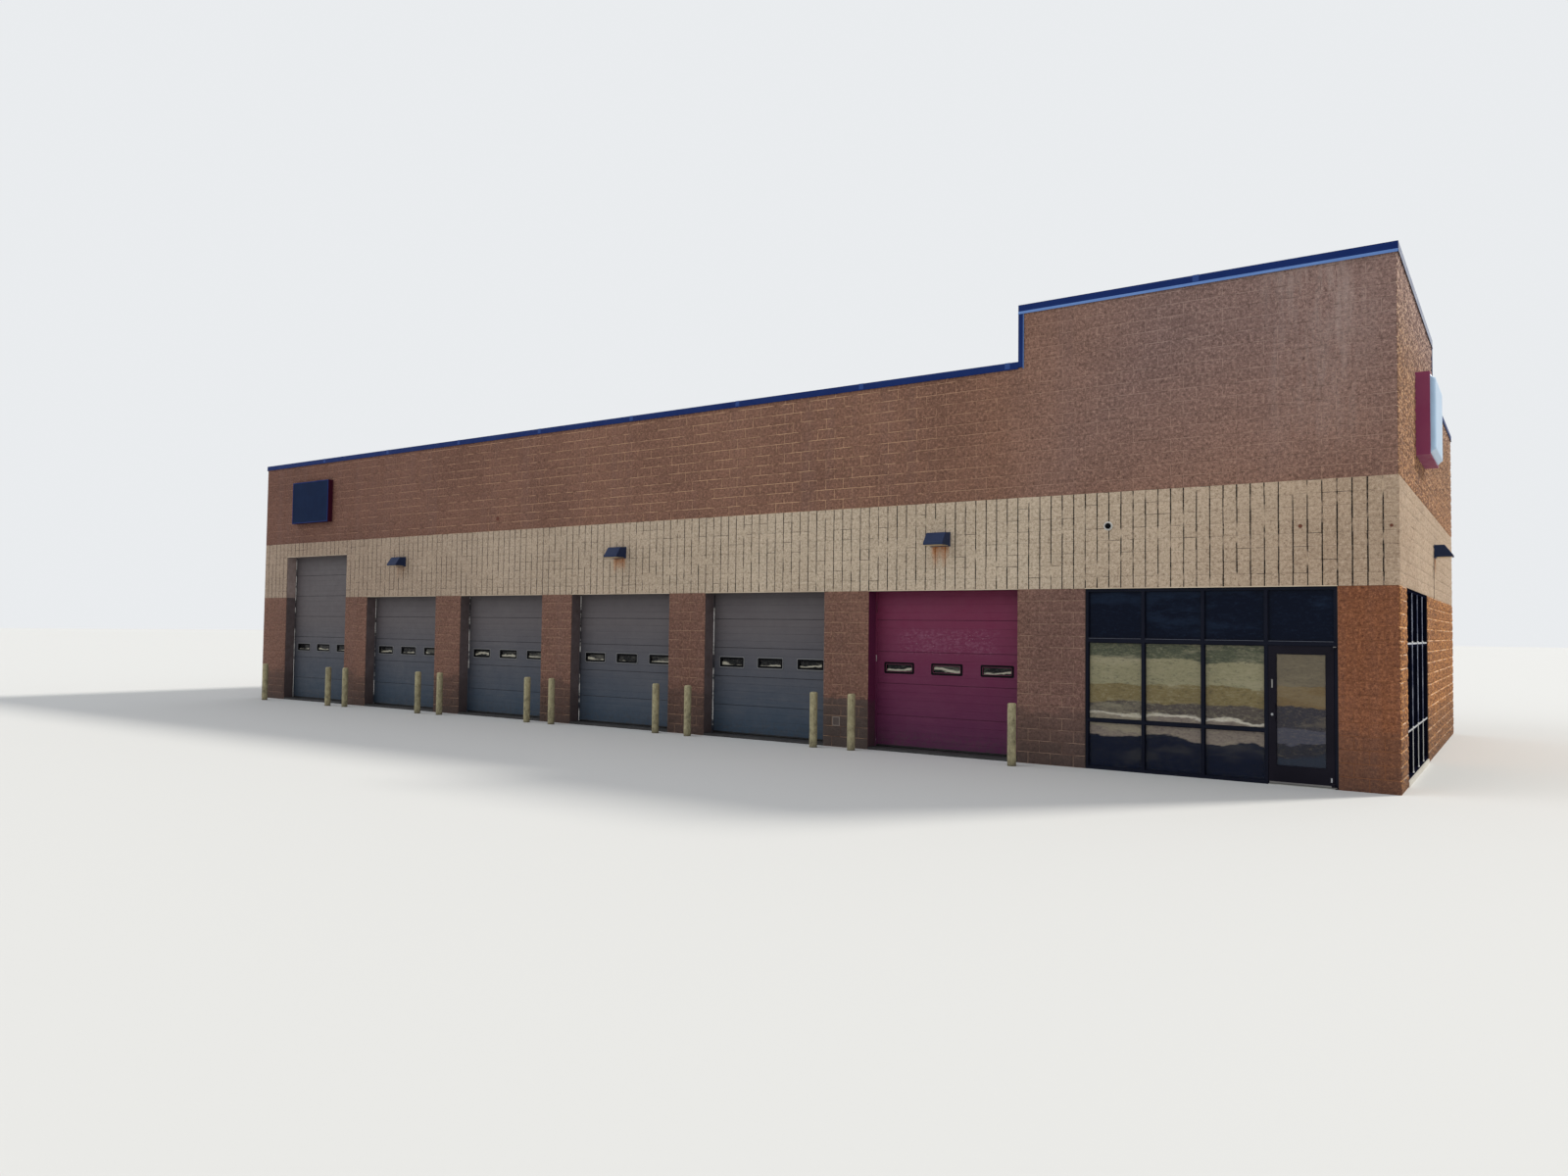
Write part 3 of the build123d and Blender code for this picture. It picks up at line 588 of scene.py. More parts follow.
def add_object(name, data):
    made = bpy.data.objects.new(name, data)
    bpy.context.scene.collection.objects.link(made)
    return made


def add_piece(name, mesh, material, slot, body=BUILDING):
    piece = add_object(name, mesh)
    mesh.materials.clear()
    mesh.materials.append(material)
    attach(piece, body)
    return piece


def face_outwards(mesh, weld=0.0):
    """Turn every face outwards, after joining the points that lie within weld of each other."""
    work = bmesh.new()
    work.from_mesh(mesh)
    if weld:
        bmesh.ops.remove_doubles(work, verts=work.verts, dist=weld)
    bmesh.ops.recalc_face_normals(work, faces=work.faces)
    work.to_mesh(mesh)
    work.free()


def grid_faces(base, columns, rows):
    """The quads between grid points that run row by row from the index base."""
    corners = (base + j * (columns + 1) + i for j in range(rows) for i in range(columns))
    return [(at, at + 1, at + columns + 2, at + columns + 1) for at in corners]


class Solids:
    """Points and faces of many simple shapes, gathered into one mesh."""

    def __init__(self, *boxes):
        self.points = []
        self.faces = []
        for low, high in boxes:
            self.box(low, high)

    def box(self, low, high):
        base = len(self.points)
        self.points += [(x, y, z) for z in (low[2], high[2]) for y in (low[1], high[1])
                        for x in (low[0], high[0])]
        quads = [(0, 2, 3, 1), (4, 5, 7, 6), (0, 1, 5, 4), (2, 6, 7, 3), (0, 4, 6, 2), (1, 3, 7, 5)]
        self.faces += [tuple(base + i for i in quad) for quad in quads]

    def ring(self, low, high, width, near, far, axis=0):
        """Four bars just inside an upright rectangle that lies along X (axis 0) or Y (axis 1)."""
        start, end = low[axis], high[axis]
        for a, b, z0, z1 in ((start, start + width, low.z, high.z), (end - width, end, low.z, high.z),
                             (start + width, end - width, low.z, low.z + width),
                             (start + width, end - width, high.z - width, high.z)):
            if axis == 0:
                self.box((a, near, z0), (b, far, z1))
            else:
                self.box((near, a, z0), (far, b, z1))

    def prism(self, outline, low, high, place):
        """An outline of points (a, b) run from low to high, where place gives (a, b, run) a point."""
        base = len(self.points)
        count = len(outline)
        for run in (low, high):
            self.points += [place(a, b, run) for a, b in outline]
        self.faces.append(tuple(base + i for i in reversed(range(count))))
        self.faces.append(tuple(base + count + i for i in range(count)))
        for i in range(count):
            j = (i + 1) % count
            self.faces.append((base + i, base + j, base + count + j, base + count + i))

    def lathe(self, profile, sides, place):
        """A profile of (radius, height) turned round its axis, closed at both ends."""
        base = len(self.points)
        for radius, height in profile:
            for k in range(sides):
                angle = math.tau * k / sides
                self.points.append(place(radius * math.cos(angle), radius * math.sin(angle), height))
        for row in range(len(profile) - 1):
            for k in range(sides):
                near, far = base + row * sides + k, base + row * sides + (k + 1) % sides
                self.faces.append((near, far, far + sides, near + sides))
        self.faces.append(tuple(base + k for k in reversed(range(sides))))
        last = base + (len(profile) - 1) * sides
        self.faces.append(tuple(last + k for k in range(sides)))

    def stud(self, profile, sides, x, y, z):
        """A turned shape that stands out from (x, y, z) towards the front."""
        self.lathe(profile, sides, lambda a, b, h: (x + a, y - h, z + b))


def build(name, solids, material, slot, body=BUILDING, bevel=0.0, smooth=False):
    """One piece from gathered solids, with true normals and rounded edges."""
    mesh = bpy.data.meshes.new(name)
    mesh.from_pydata(solids.points, [], solids.faces)
    face_outwards(mesh)
    piece = add_piece(name, mesh, material, slot, body)
    if smooth or bevel:
        mesh.shade_smooth()
    if bevel:
        rounding = piece.modifiers.new("rounding", "BEVEL")
        rounding.width = bevel
        rounding.segments = 2
        rounding.limit_method = "ANGLE"
        rounding.harden_normals = True
    return piece


# Wall faces: the point of a wall at u along it, d out from it and z up
WALLS = {
    "front": lambda u, d, z: (u, FRONT - d, z),
    "right": lambda u, d, z: (RIGHT + d, u, z),
    "rear": lambda u, d, z: (-u, REAR + d, z),
    "left": lambda u, d, z: (LEFT - d, -u, z),
}


def free_runs(low, high, holes, z):
    """The stretches of a course that no opening cuts, as (start, end) pairs."""
    runs, start = [], low
    for left, right, bottom, top in sorted(holes):
        if bottom < z < top:
            runs.append((start, left))
            start = right
    runs.append((start, high))
    return [(a, b) for a, b in runs if b - a > JOINT]


class Field:
    """Rough block faces of one wall, gathered into one mesh with a shade for each."""

    def __init__(self, wall, rough=PAD_ROUGH):
        self.wall = WALLS[wall]
        self.rough = rough
        self.points = []
        self.faces = []
        self.tones = []

    def pad(self, u, z, cells_u, cells_z, tone):
        """One block face between the given ends, rough in the middle and low at the edges."""
        us = np.linspace(u[0], u[1], cells_u + 1)
        zs = np.linspace(z[0], z[1], cells_z + 1)
        step_u, step_z = us[1] - us[0], zs[1] - zs[0]
        base = len(self.points)
        for j, height in enumerate(zs):
            ridge = chance.uniform(*LUMP)
            for i, along in enumerate(us):
                if i in (0, cells_u) or j in (0, cells_z):
                    out = PAD_EDGE + chance.uniform(0.0, PAD_EDGE_VARY)
                    self.points.append(self.wall(along, out, height))
                else:
                    lump = RIDGE_SHARE * ridge + (1.0 - RIDGE_SHARE) * chance.uniform(*LUMP)
                    out = PAD_EDGE + self.rough * lump
                    self.points.append(self.wall(along + step_u * chance.uniform(-PAD_SHIFT, PAD_SHIFT), out,
                                                 height + step_z * chance.uniform(-PAD_SHIFT, PAD_SHIFT)))
        self.faces += grid_faces(base, cells_u, cells_z)
        row = cells_u + 1
        ring = list(range(row))
        ring += [j * row + cells_u for j in range(1, cells_z + 1)]
        ring += [cells_z * row + i for i in range(cells_u - 1, -1, -1)]
        ring += [j * row for j in range(cells_z - 1, 0, -1)]
        foot = len(self.points)
        self.points += [self.wall(us[index % row], -SINK, zs[index // row]) for index in ring]
        for k, index in enumerate(ring):
            n = (k + 1) % len(ring)
            self.faces.append((base + index, foot + k, foot + n, base + ring[n]))
        self.tones += [tone] * (cells_u * cells_z + len(ring))

    def piece(self, name, material, slot):
        mesh = bpy.data.meshes.new(name)
        mesh.from_pydata(self.points, [], self.faces)
        mesh.attributes.new("tone", "FLOAT", "FACE").data.foreach_set("value", self.tones)
        return add_piece(name, mesh, material, slot)


def block_wall(name, wall, areas, holes=(), cells=(9, 4), rough=PAD_ROUGH):
    """Courses of split blocks in running bond, cut at the openings.

    Each area is (low, high, bottom, top), and the first one's low end sets the bond.
    """
    field = Field(wall, rough)
    origin = areas[0][0]
    for low, high, bottom, top in areas:
        for course in range(round(bottom / COURSE), math.ceil(top / COURSE - 0.001)):
            z0, z1 = course * COURSE, min((course + 1) * COURSE, top)
            shift = origin + (BLOCK / 2 if course % 2 else 0.0)
            for start, end in free_runs(low, high, holes, (z0 + z1) / 2):
                lay_course(field, start, end, z0, z1, shift, cells)
    field.piece(name, BROWN, "brown_block")


def lay_course(field, start, end, z0, z1, shift, cells):
    """One run of a course, with joints between its blocks but not at its two ends."""
    block = math.floor((start - shift) / BLOCK + 0.01)
    while shift + block * BLOCK < end - JOINT:
        a = max(start, shift + block * BLOCK)
        b = min(end, shift + (block + 1) * BLOCK)
        block += 1
        if b - a < 2 * JOINT:
            continue
        left_in = 0.0 if a == start else END_JOINT / 2
        right_in = 0.0 if b == end else END_JOINT / 2
        across = max(2, round(cells[0] * (b - a) / BLOCK))
        field.pad((a + left_in, b - right_in), (z0 + JOINT / 2, z1 - JOINT / 2),
                  across, cells[1], chance.beta(3, 3))


def scored_wall(name, wall, low, high, holes=(), cells=(5, 5)):
    """Upright strips between score lines, each course of a strip parted by a faint seam."""
    field = Field(wall)
    for column in range(round((high - low) / COURSE)):
        a, b = low + column * COURSE, low + (column + 1) * COURSE
        for course in range(round((BAND_TOP - DOOR_HEAD) / COURSE)):
            z0 = DOOR_HEAD + course * COURSE
            middle = ((a + b) / 2, z0 + COURSE / 2)
            if any(l < middle[0] < r and s < middle[1] < t for l, r, s, t in holes):
                continue
            gap = DEEP_SEAM if chance.random() < DEEP_SHARE else SEAM
            worn = chance.uniform(0.7, 1.3)
            left_in = 0.0 if column == 0 else SCORE / 2 * worn
            right_in = 0.0 if b > high - COURSE / 2 else SCORE / 2 * worn
            field.pad((a + left_in, b - right_in), (z0 + SEAM_FOOT, z0 + COURSE - gap), *cells,
                      chance.beta(4, 4))
    field.piece(name, TAN, "tan_block")


def masonry():
    """Block faces of all four walls; the two unseen walls have coarser ones."""
    front_holes = [(left, right, 0.0, head) for left, right, head in DOORS]
    front_holes.append((SHOP_LEFT, SHOP_RIGHT, 0.0, DOOR_HEAD))
    side_hole = [(WINDOW_NEAR, WINDOW_FAR, 0.0, DOOR_HEAD)]
    sunny = ((7, 7), SUNNY_ROUGH)
    step = math.floor(LOW_WALL_TOP / COURSE) * COURSE
    tower_start, tower_end = TOWER_LEFT + END_CAP, TOWER_BACK - END_CAP
    block_wall("front_pier_blocks", "front", [(LEFT, RIGHT, 0.0, DOOR_HEAD)], front_holes)
    block_wall("front_upper_blocks", "front", [(LEFT, RIGHT, BAND_TOP, step),
                                               (LEFT, tower_start, step, LOW_WALL_TOP),
                                               (tower_start, RIGHT, step, TOWER_WALL_TOP)])
    block_wall("right_base_blocks", "right", [(FRONT, REAR, 0.0, DOOR_HEAD)], side_hole, *sunny)
    block_wall("right_upper_blocks", "right", [(FRONT, REAR, BAND_TOP, step),
                                               (FRONT, tower_end, step, TOWER_WALL_TOP),
                                               (tower_end, REAR, step, LOW_WALL_TOP)], (), *sunny)
    scored_wall("front_band_blocks", "front", LEFT, RIGHT, front_holes)
    scored_wall("right_band_blocks", "right", FRONT, REAR)
    for wall, low, high in (("rear", -RIGHT, -LEFT), ("left", -REAR, -FRONT)):
        block_wall(f"{wall}_base_blocks", wall, [(low, high, 0.0, DOOR_HEAD)], (), (4, 2))
        block_wall(f"{wall}_upper_blocks", wall, [(low, high, BAND_TOP, LOW_WALL_TOP)], (), (4, 2))
        scored_wall(f"{wall}_band_blocks", wall, low, high, (), (2, 2))


def solids_of(node):
    """The lowest and highest corner of each separate solid of a node, from left to right."""
    work = bmesh.new()
    work.from_mesh(frame["nodes"][node].data)
    bmesh.ops.remove_doubles(work, verts=work.verts, dist=WELD)
    left, boxes = set(work.verts), []
    while left:
        group, queue = [], [left.pop()]
        while queue:
            point = queue.pop()
            group.append(point.co.copy())
            fresh = {edge.other_vert(point) for edge in point.link_edges} & left
            left -= fresh
            queue += fresh
        corners = np.array(group)
        boxes.append((Vector(corners.min(0)), Vector(corners.max(0))))
    work.free()
    return sorted(boxes, key=lambda box: (round(box[0].x, 3), round(box[0].y, 3), box[0].z))


def rounded(x, z, width, height, radius, steps=5):
    """The points of a rounded rectangle about (x, z), with an arc at each corner."""
    points = []
    for quarter, (side_x, side_z) in enumerate(((1, 1), (-1, 1), (-1, -1), (1, -1))):
        centre = (x + side_x * (width / 2 - radius), z + side_z * (height / 2 - radius))
        for k in range(steps + 1):
            angle = math.pi / 2 * (quarter + k / steps)
            points.append((centre[0] + radius * math.cos(angle), centre[1] + radius * math.sin(angle)))
    return points


def cut_sheet(name, outlines, near, far, rounding, material, slot):
    """An upright sheet from y near to y far, cut to outlines of (x, z); inner ones are holes."""
    curve = bpy.data.curves.new(name, "CURVE")
    curve.dimensions = "2D"
    curve.fill_mode = "BOTH"
    curve.extrude = (far - near) / 2 - rounding
    curve.bevel_depth = rounding
    curve.bevel_resolution = 0
    for outline in outlines:
        spline = curve.splines.new("POLY")
        spline.points.add(len(outline) - 1)
        for point, (x, z) in zip(spline.points, outline):
            point.co = (x, z, 0.0, 1.0)
        spline.use_cyclic_u = True
    drawn = add_object(name + "_outline", curve)
    bpy.context.view_layer.update()
    mesh = bpy.data.meshes.new_from_object(drawn.evaluated_get(bpy.context.evaluated_depsgraph_get()))
    bpy.data.objects.remove(drawn)
    mesh.transform(Matrix.Translation((0, (near + far) / 2, 0)) @ Matrix.Rotation(math.pi / 2, 4, "X"))
    face_outwards(mesh, weld=WELD)
    add_piece(name, mesh, material, slot)


# Vehicle door trim; a window's outlines are (width, height, corner radius)
SKIN_T = 0.004
SKIN_FACE = FRONT_IN - SKIN_T
SECTION = 0.6096
PLANKS = 4
WINDOW_SECTION = 3
PLANK_GAP = 0.0014
SECTION_GAP = 0.010
SKIN_OVER = 0.02
EDGE_R = 0.0012
CUT = (0.606, 0.178, 0.018)
SURROUND = (0.640, 0.212, 0.024)
SIGHT = (0.556, 0.132, 0.010)
RIM = (0.660, 0.232, 0.032)
INNER_LINE = (0.566, 0.142, 0.014)
STOP_W = 0.032
STOP_NEAR = FRONT_IN - 0.032
STRIP_W = 0.024
STRIP_LAP = 0.012
RUBBER_R = 0.019
GREY_PAINT = (GREY_DOOR, "grey_door_paint")
MAROON_PAINT = (MAROON_DOOR, "maroon_door_paint")

# Vinyl strips: the longest length, the share of lengths still there and the share of the width
GREY_STRIPS = (1.5, 0.95, 1.0)
MAROON_STRIPS = (0.45, 0.3, 0.35)


def door_skin(number, door, windows):
    """The pressed face of one door: four planks to a section, with its window cuts."""
    left, right, head = door
    plank = SECTION / PLANKS
    outlines = []
    for row in range(math.ceil((head - FLOOR) / plank)):
        section, order = divmod(row, PLANKS)
        bottom = FLOOR + row * plank + (SECTION_GAP if order == 0 else PLANK_GAP)
        top = min(FLOOR + (row + 1) * plank, head + SKIN_OVER)
        if section == WINDOW_SECTION - 1 and order == 1:
            top = FLOOR + (row + 2) * plank
            outlines += [rounded(m.x, m.z, CUT[0] + 2 * EDGE_R, CUT[1] + 2 * EDGE_R, CUT[2])
                         for m in windows]
        elif section == WINDOW_SECTION - 1 and order == 2:
            continue
        x0, x1, z0, z1 = left + EDGE_R, right - EDGE_R, bottom + EDGE_R, top - EDGE_R
        outlines.append([(x0, z0), (x1, z0), (x1, z1), (x0, z1)])
    paint = MAROON_PAINT if left == MAROON_LEFT else GREY_PAINT
    cut_sheet(f"door_skin_{number}", outlines, SKIN_FACE, FRONT_IN, EDGE_R, *paint)


def vehicle_doors():
    """The doors' pressed faces, with the surrounds and rims of their small windows."""
    panes = solids_of("door_windows")
    middles = [((low + high) / 2) for low, high in panes]
    windows = [[m for m in middles if left < m.x < right] for left, right, _ in DOORS]
    for number, (door, own) in enumerate(zip(DOORS, windows), start=1):
        door_skin(number, door, own)
    pane_front = min(low.y for low, high in panes)
    for name, groups, outlines, out, back, rounding, material, slot in (
            ("door_window_surrounds", windows, (SURROUND, SIGHT), 0.009, pane_front, 0.003,
             WINDOW_BLACK, "bronze_frame"),
            ("grey_window_rims", windows[:-1], (RIM, SURROUND), 0.0105, FRONT_IN, 0.0012,
             RIM_GREY, "grey_door_paint"),
            ("maroon_window_lines", windows[-1:], (INNER_LINE, SIGHT), 0.0105, FRONT_IN, 0.0012,
             RIM_PINK, "maroon_door_paint")):
        rings = [rounded(m.x, m.z, *size) for group in groups for m in group for size in outlines]
        cut_sheet(name, rings, SKIN_FACE - out, back, rounding, material, slot)


def worn_strip(strips, edge, top, maroon):
    """A vinyl strip in broken lengths, narrow and mostly gone at the maroon door."""
    longest, kept, share = MAROON_STRIPS if maroon else GREY_STRIPS
    z = FLOOR + 0.01
    while z < top - 0.05:
        length = min(random.uniform(longest / 4, longest), top - z)
        if random.random() < kept:
            lean = random.uniform(0.0, 0.005)
            strips.box((edge, STOP_NEAR - 0.004 + lean, z),
                       (edge + STRIP_W * share, STOP_NEAR - 0.001 + lean, z + length))
        z += length + random.uniform(0.003, 0.018)


def door_edges():
    """Stop mouldings, worn vinyl strips and bottom rubbers of the vehicle doors."""
    grey_stops, maroon_stops, strips, rubber = Solids(), Solids(), Solids(), Solids()
    turns = [math.pi * (0.5 + k / 6) for k in range(7)]
    bulb = [(RUBBER_R * math.cos(a), RUBBER_R * math.sin(a)) for a in turns]
    back = SKIN_FACE - SINK
    for left, right, head in DOORS:
        maroon = left == MAROON_LEFT
        stops = maroon_stops if maroon else grey_stops
        stops.box((left, STOP_NEAR, FLOOR), (left + STOP_W, back, head))
        stops.box((right - STOP_W, STOP_NEAR, FLOOR), (right, back, head))
        stops.box((left + STOP_W, STOP_NEAR, head - STOP_W), (right - STOP_W, back, head))
        for edge in (left + STOP_W - STRIP_LAP, right - STOP_W - STRIP_W + STRIP_LAP):
            worn_strip(strips, edge, head - STOP_W, maroon)
        rubber.prism(bulb, left + 0.003, right - 0.003,
                     lambda a, b, run: (run, SKIN_FACE + a, FLOOR + RUBBER_R + b))
    build("door_stop_mouldings", grey_stops, *GREY_PAINT, bevel=0.003)
    build("maroon_stop_mouldings", maroon_stops, *MAROON_PAINT, bevel=0.003)
    build("door_weather_strips", strips, VINYL, "dome_plastic", bevel=0.0008)
    build("door_bottom_rubbers", rubber, RUBBER, "lamp_housing")


# Glazing: beads, sealant, the shop's upper row of panes, and the side window's rails
BEAD_W = 0.012
BEAD_D = 0.020
LEAF_BEAD_D = 0.014
SEALANT_W = 0.007
UPPER_ROW = 2.0
EDGE_BEVEL = 0.0008
BORDER = 0.05
RAIL_H = 0.034
RAIL_LAP = 0.006


def shop_glazing(sealant):
    """The shop's panes, their beads, the pale edge under the upper row, a painted reflection, and the
    sealant.
    """
    beads, dull, upper, lower = Solids(), Solids(), Solids(), Solids()
    face = span("storefront_frame", 1)[0]
    for low, high in solids_of("storefront_glass"):
        beads.ring(low, high, BEAD_W, low.y - BEAD_D, low.y)
        if low.z > UPPER_ROW:
            upper.box(low, high)
            # A pale strip under each upper pane: a painted reflection on the transom.
            dull.box((low.x + 0.01, face - 0.003, low.z - RAIL_LAP),
                     (high.x - 0.01, face + SINK, low.z - SINK))
        else:
            lower.box(low, high)
    for name, panes, material in (("transom_panes", upper, UPPER_GLASS), ("shop_panes", lower, SHOP_GLASS)):
        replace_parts(build(name, panes, material, "window_glass", bevel=0.001), "storefront_glass")
    for x in (SHOP_LEFT, SHOP_RIGHT - SEALANT_W):
        sealant.box((x, FRONT + SINK, 0.0), (x + SEALANT_W, face + 2 * SINK, DOOR_HEAD))
    sealant.box((SHOP_LEFT + SEALANT_W, FRONT + SINK, DOOR_HEAD - SEALANT_W),
                (SHOP_RIGHT - SEALANT_W, face + 2 * SINK, DOOR_HEAD))
    build("storefront_beads", beads, BRONZE, "bronze_frame", bevel=0.002)
    build("transom_bright_edges", dull, TRANSOM_GLINT, "bronze_frame", bevel=EDGE_BEVEL)


def side_glazing(sealant):
    """The side window's beads, pale uprights, bright rails and bare metal, and the sealant. The uprights'
    pale blue is a painted sky reflection, the rails' brightness a painted highlight, and the bare metal is
    pale with painted sunlight.
    """
    beads, bright, uprights, bare = Solids(), Solids(), Solids(), Solids()
    face = span("side_window_frame", 0)[1]
    panes = solids_of("side_window_glass")
    for low, high in panes:
        beads.ring(low, high, BEAD_W, high.x, high.x + BEAD_D, axis=1)
    rails = sorted({round(low.z, 3) for low, high in panes})
    for z in rails[1:]:
        bright.box((face - SINK, WINDOW_NEAR + BORDER, z - RAIL_H),
                   (face + 0.003, WINDOW_FAR - BORDER, z - RAIL_LAP))
    for y in sorted({round(low.y, 3) for low, high in panes})[1:]:
        near, far = (face - SINK, y - 0.050), (face + 0.010, y - 0.034)
        bare.box((*near, rails[0]), (*far, rails[1] - RAIL_H))
        uprights.box((*near, rails[1] - RAIL_LAP), (*far, DOOR_HEAD - BORDER))
        for z in rails:
            bare.box((face - SINK, y - 0.075, z - RAIL_LAP), (face + 0.014, y + 0.005, z + 0.016))
    for y in (WINDOW_NEAR, WINDOW_FAR - SEALANT_W):
        sealant.box((face - 2 * SINK, y, rails[0] - BORDER), (RIGHT - SINK, y + SEALANT_W, DOOR_HEAD))
    build("side_window_uprights", uprights, SIDE_TRIM_SKY_REFLECTION, "bronze_frame", bevel=EDGE_BEVEL)
    build("side_window_bare_metal", bare, BARE_TRIM, "bronze_frame", bevel=EDGE_BEVEL)
    build("side_window_beads", beads, SIDE_BRONZE, "bronze_frame", bevel=0.002)
    build("side_window_bright_edges", bright, BRIGHT, "bronze_frame", bevel=EDGE_BEVEL)


def glazing():
    """The glazing of the shop and of the side window, with one piece of sealant for both."""
    sealant = Solids()
    shop_glazing(sealant)
    side_glazing(sealant)
    build("frame_sealant", sealant, CAULK, "bronze_frame", bevel=0.001)


def entry_leaf():
    """Beads, lock cylinder, lock plate, foot patch and sweep on the swinging door."""
    pane_low, pane_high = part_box("entry_door_glass")
    low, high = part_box("entry_door")
    face = low.y
    beads = Solids()
    for near, far in ((pane_low.y - LEAF_BEAD_D, pane_low.y), (pane_high.y, pane_high.y + LEAF_BEAD_D)):
        beads.ring(pane_low, pane_high, BEAD_W, near, far)
    build("entry_leaf_beads", beads, LEAF_BRONZE, "bronze_frame", LEAF, 0.002)

    stile = (low.x + pane_low.x) / 2
    lock_z, plate_low, plate_high = 1.075, 1.485, 1.615
    turned = [(0.021, 0.0), (0.021, 0.004), (0.018, 0.010), (0.016, 0.013), (0.0045, 0.013), (0.004, 0.011)]
    lock = Solids()
    lock.stud(turned, 28, stile, face, lock_z)
    build("entry_lock_cylinder", lock, BRIGHT, "door_hardware", LEAF)
    plate = Solids(((stile - 0.012, face - 0.004, plate_low), (stile + 0.012, face, plate_high)))
    for z in (plate_low + 0.01, plate_high - 0.01):
        plate.stud([(0.005, 0.0), (0.005, 0.0015), (0.003, 0.0022)], 12, stile, face - 0.004, z)
    build("entry_lock_plate", plate, STEEL, "door_hardware", LEAF, 0.0015)
    patch = Solids(((high.x - 0.052, face - 0.003, 0.10), (high.x - 0.030, face, 0.165)))
    build("entry_leaf_patch", patch, BRIGHT, "door_hardware", LEAF, 0.0012)
    sweep = Solids(((low.x + 0.01, face - 0.003, low.z + 0.002), (high.x - 0.01, face, low.z + 0.032)))
    build("entry_door_sweep", sweep, STEEL, "door_hardware", LEAF, 0.001)


# Copings: folded faces with a kicked-out drip edge, and the covers over the joints
FACE_T = 0.0025
DRIP_OUT = 0.011
TOWER_FACE = (0.165, 0.050)
LOW_FACE = (0.132, 0.014)
COVER_W = 0.10
COVER_T = 0.003
COVER_DROP = 0.112
COVER_PITCH = 3.048
STEP_EDGE_W = 0.010
STEP_EDGE_OUT = 0.003
STEP_EDGE_IN = 0.022


def folded_face(sheets, drips, along, low, high, face, top, sizes, sign):
    """A coping's face and drip edge, along x or y; sizes are the face's height and the drip's."""
    height, drop = sizes
    back, bend, lip = -SINK / 2, 0.004, 0.003
    upright = [(back, 0.0), (FACE_T, 0.0), (FACE_T, drop - height), (back, drop - height)]
    kicked = [(back, drop - height), (FACE_T, drop - height), (DRIP_OUT, bend - height),
              (DRIP_OUT - lip, -height), (lip, bend - height)]
    for solids, outline in ((sheets, upright), (drips, kicked)):
        if along == "x":
            solids.prism(outline, low, high, lambda a, b, run: (run, face + sign * a, top + b))
        else:
            solids.prism(outline, low, high, lambda a, b, run: (face + sign * a, run, top + b))


def copings():
    """The copings' folded faces, the raised part's drip edge, pale with painted sky reflection, and the joint
    covers.
    """
    sheets, edge, covers, sunny = Solids(), Solids(), Solids(), Solids()
    out_front, in_front = span("coping_front", 1)
    out_right, out_left = span("coping_right", 0)[1], span("coping_left", 0)[0]
    out_rear = span("coping_rear", 1)[1]
    low_top = LOW_WALL_TOP + (TOWER_TOP - TOWER_WALL_TOP)
    folded_face(sheets, edge, "x", TOWER_LEFT, out_right, out_front, TOWER_TOP, TOWER_FACE, -1)
    folded_face(sunny, sunny, "y", out_front, TOWER_BACK, out_right, TOWER_TOP, TOWER_FACE, 1)
    for along, low, high, face, sign in (("x", out_left, TOWER_LEFT, out_front, -1),
                                         ("x", out_left, out_right, out_rear, 1),
                                         ("y", out_front, out_rear, out_left, -1),
                                         ("y", TOWER_BACK, out_rear, out_right, 1)):
        folded_face(sheets, sheets, along, low, high, face, low_top, LOW_FACE, sign)
    step = TOWER_LEFT + END_CAP
    # The step's edge strip, pale with painted reflection.
    edge.box((step, out_front - STEP_EDGE_OUT, low_top - LOW_FACE[0]),
             (step + STEP_EDGE_W, out_front + STEP_EDGE_IN, TOWER_TOP - TOWER_FACE[0]))
    for top, low, high in ((low_top, LEFT, TOWER_LEFT), (TOWER_TOP, TOWER_LEFT, RIGHT)):
        x = low + COVER_PITCH
        while x < high - COVER_W:
            x0, x1, over = x - COVER_W / 2, x + COVER_W / 2, top + COVER_T
            covers.box((x0, out_front - FACE_T - COVER_T, top - COVER_DROP), (x1, out_front, over))
            covers.box((x0, out_front, top), (x1, in_front, over))
            x += COVER_PITCH
    for name, solids, material, bevel in (("coping_faces", sheets, NAVY, EDGE_BEVEL),
                                          ("tower_side_coping_face", sunny, NAVY_SUNNY, EDGE_BEVEL),
                                          ("tower_drip_edge", edge, NAVY_DRIP_REFLECTION, EDGE_BEVEL),
                                          ("coping_joint_covers", covers, NAVY_COVER, 0.0012)):
        build(name, solids, material, "navy_metal", bevel=bevel)


RETAINER_W = 0.028
RETAINER_LAP = 0.004
FRONT_RETAINER_OUT = 0.010
SIDE_RETAINER_OUT = 0.012
SCREWS = 5


def sign_frames():
    """Retainers round both sign faces, and the side one's screws."""
    low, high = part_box("front_sign")
    retainer = Solids()
    retainer.ring(low, high, RETAINER_W, low.y - FRONT_RETAINER_OUT, low.y + RETAINER_LAP)
    build("front_sign_retainer", retainer, NAVY, "dark_sign_face", bevel=0.003)

    low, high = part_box("side_sign")
    face = high.x + SIDE_RETAINER_OUT
    retainer, screws = Solids(), Solids()
    retainer.ring(low, high, RETAINER_W, high.x - RETAINER_LAP, face, axis=1)
    build("side_sign_retainer", retainer, RED_BOX, "maroon_sign_box", bevel=0.003)
    for k in range(SCREWS):
        y = low.y + (high.y - low.y) * (k + 0.5) / SCREWS
        for z in (low.z + RETAINER_W / 2, high.z - RETAINER_W / 2):
            screws.lathe([(0.006, 0.0), (0.006, 0.002), (0.003, 0.004)], 10,
                         lambda a, b, h, y=y, z=z: (face + h, y + a, z + b))
    build("side_sign_screws", screws, STEEL, "door_hardware")


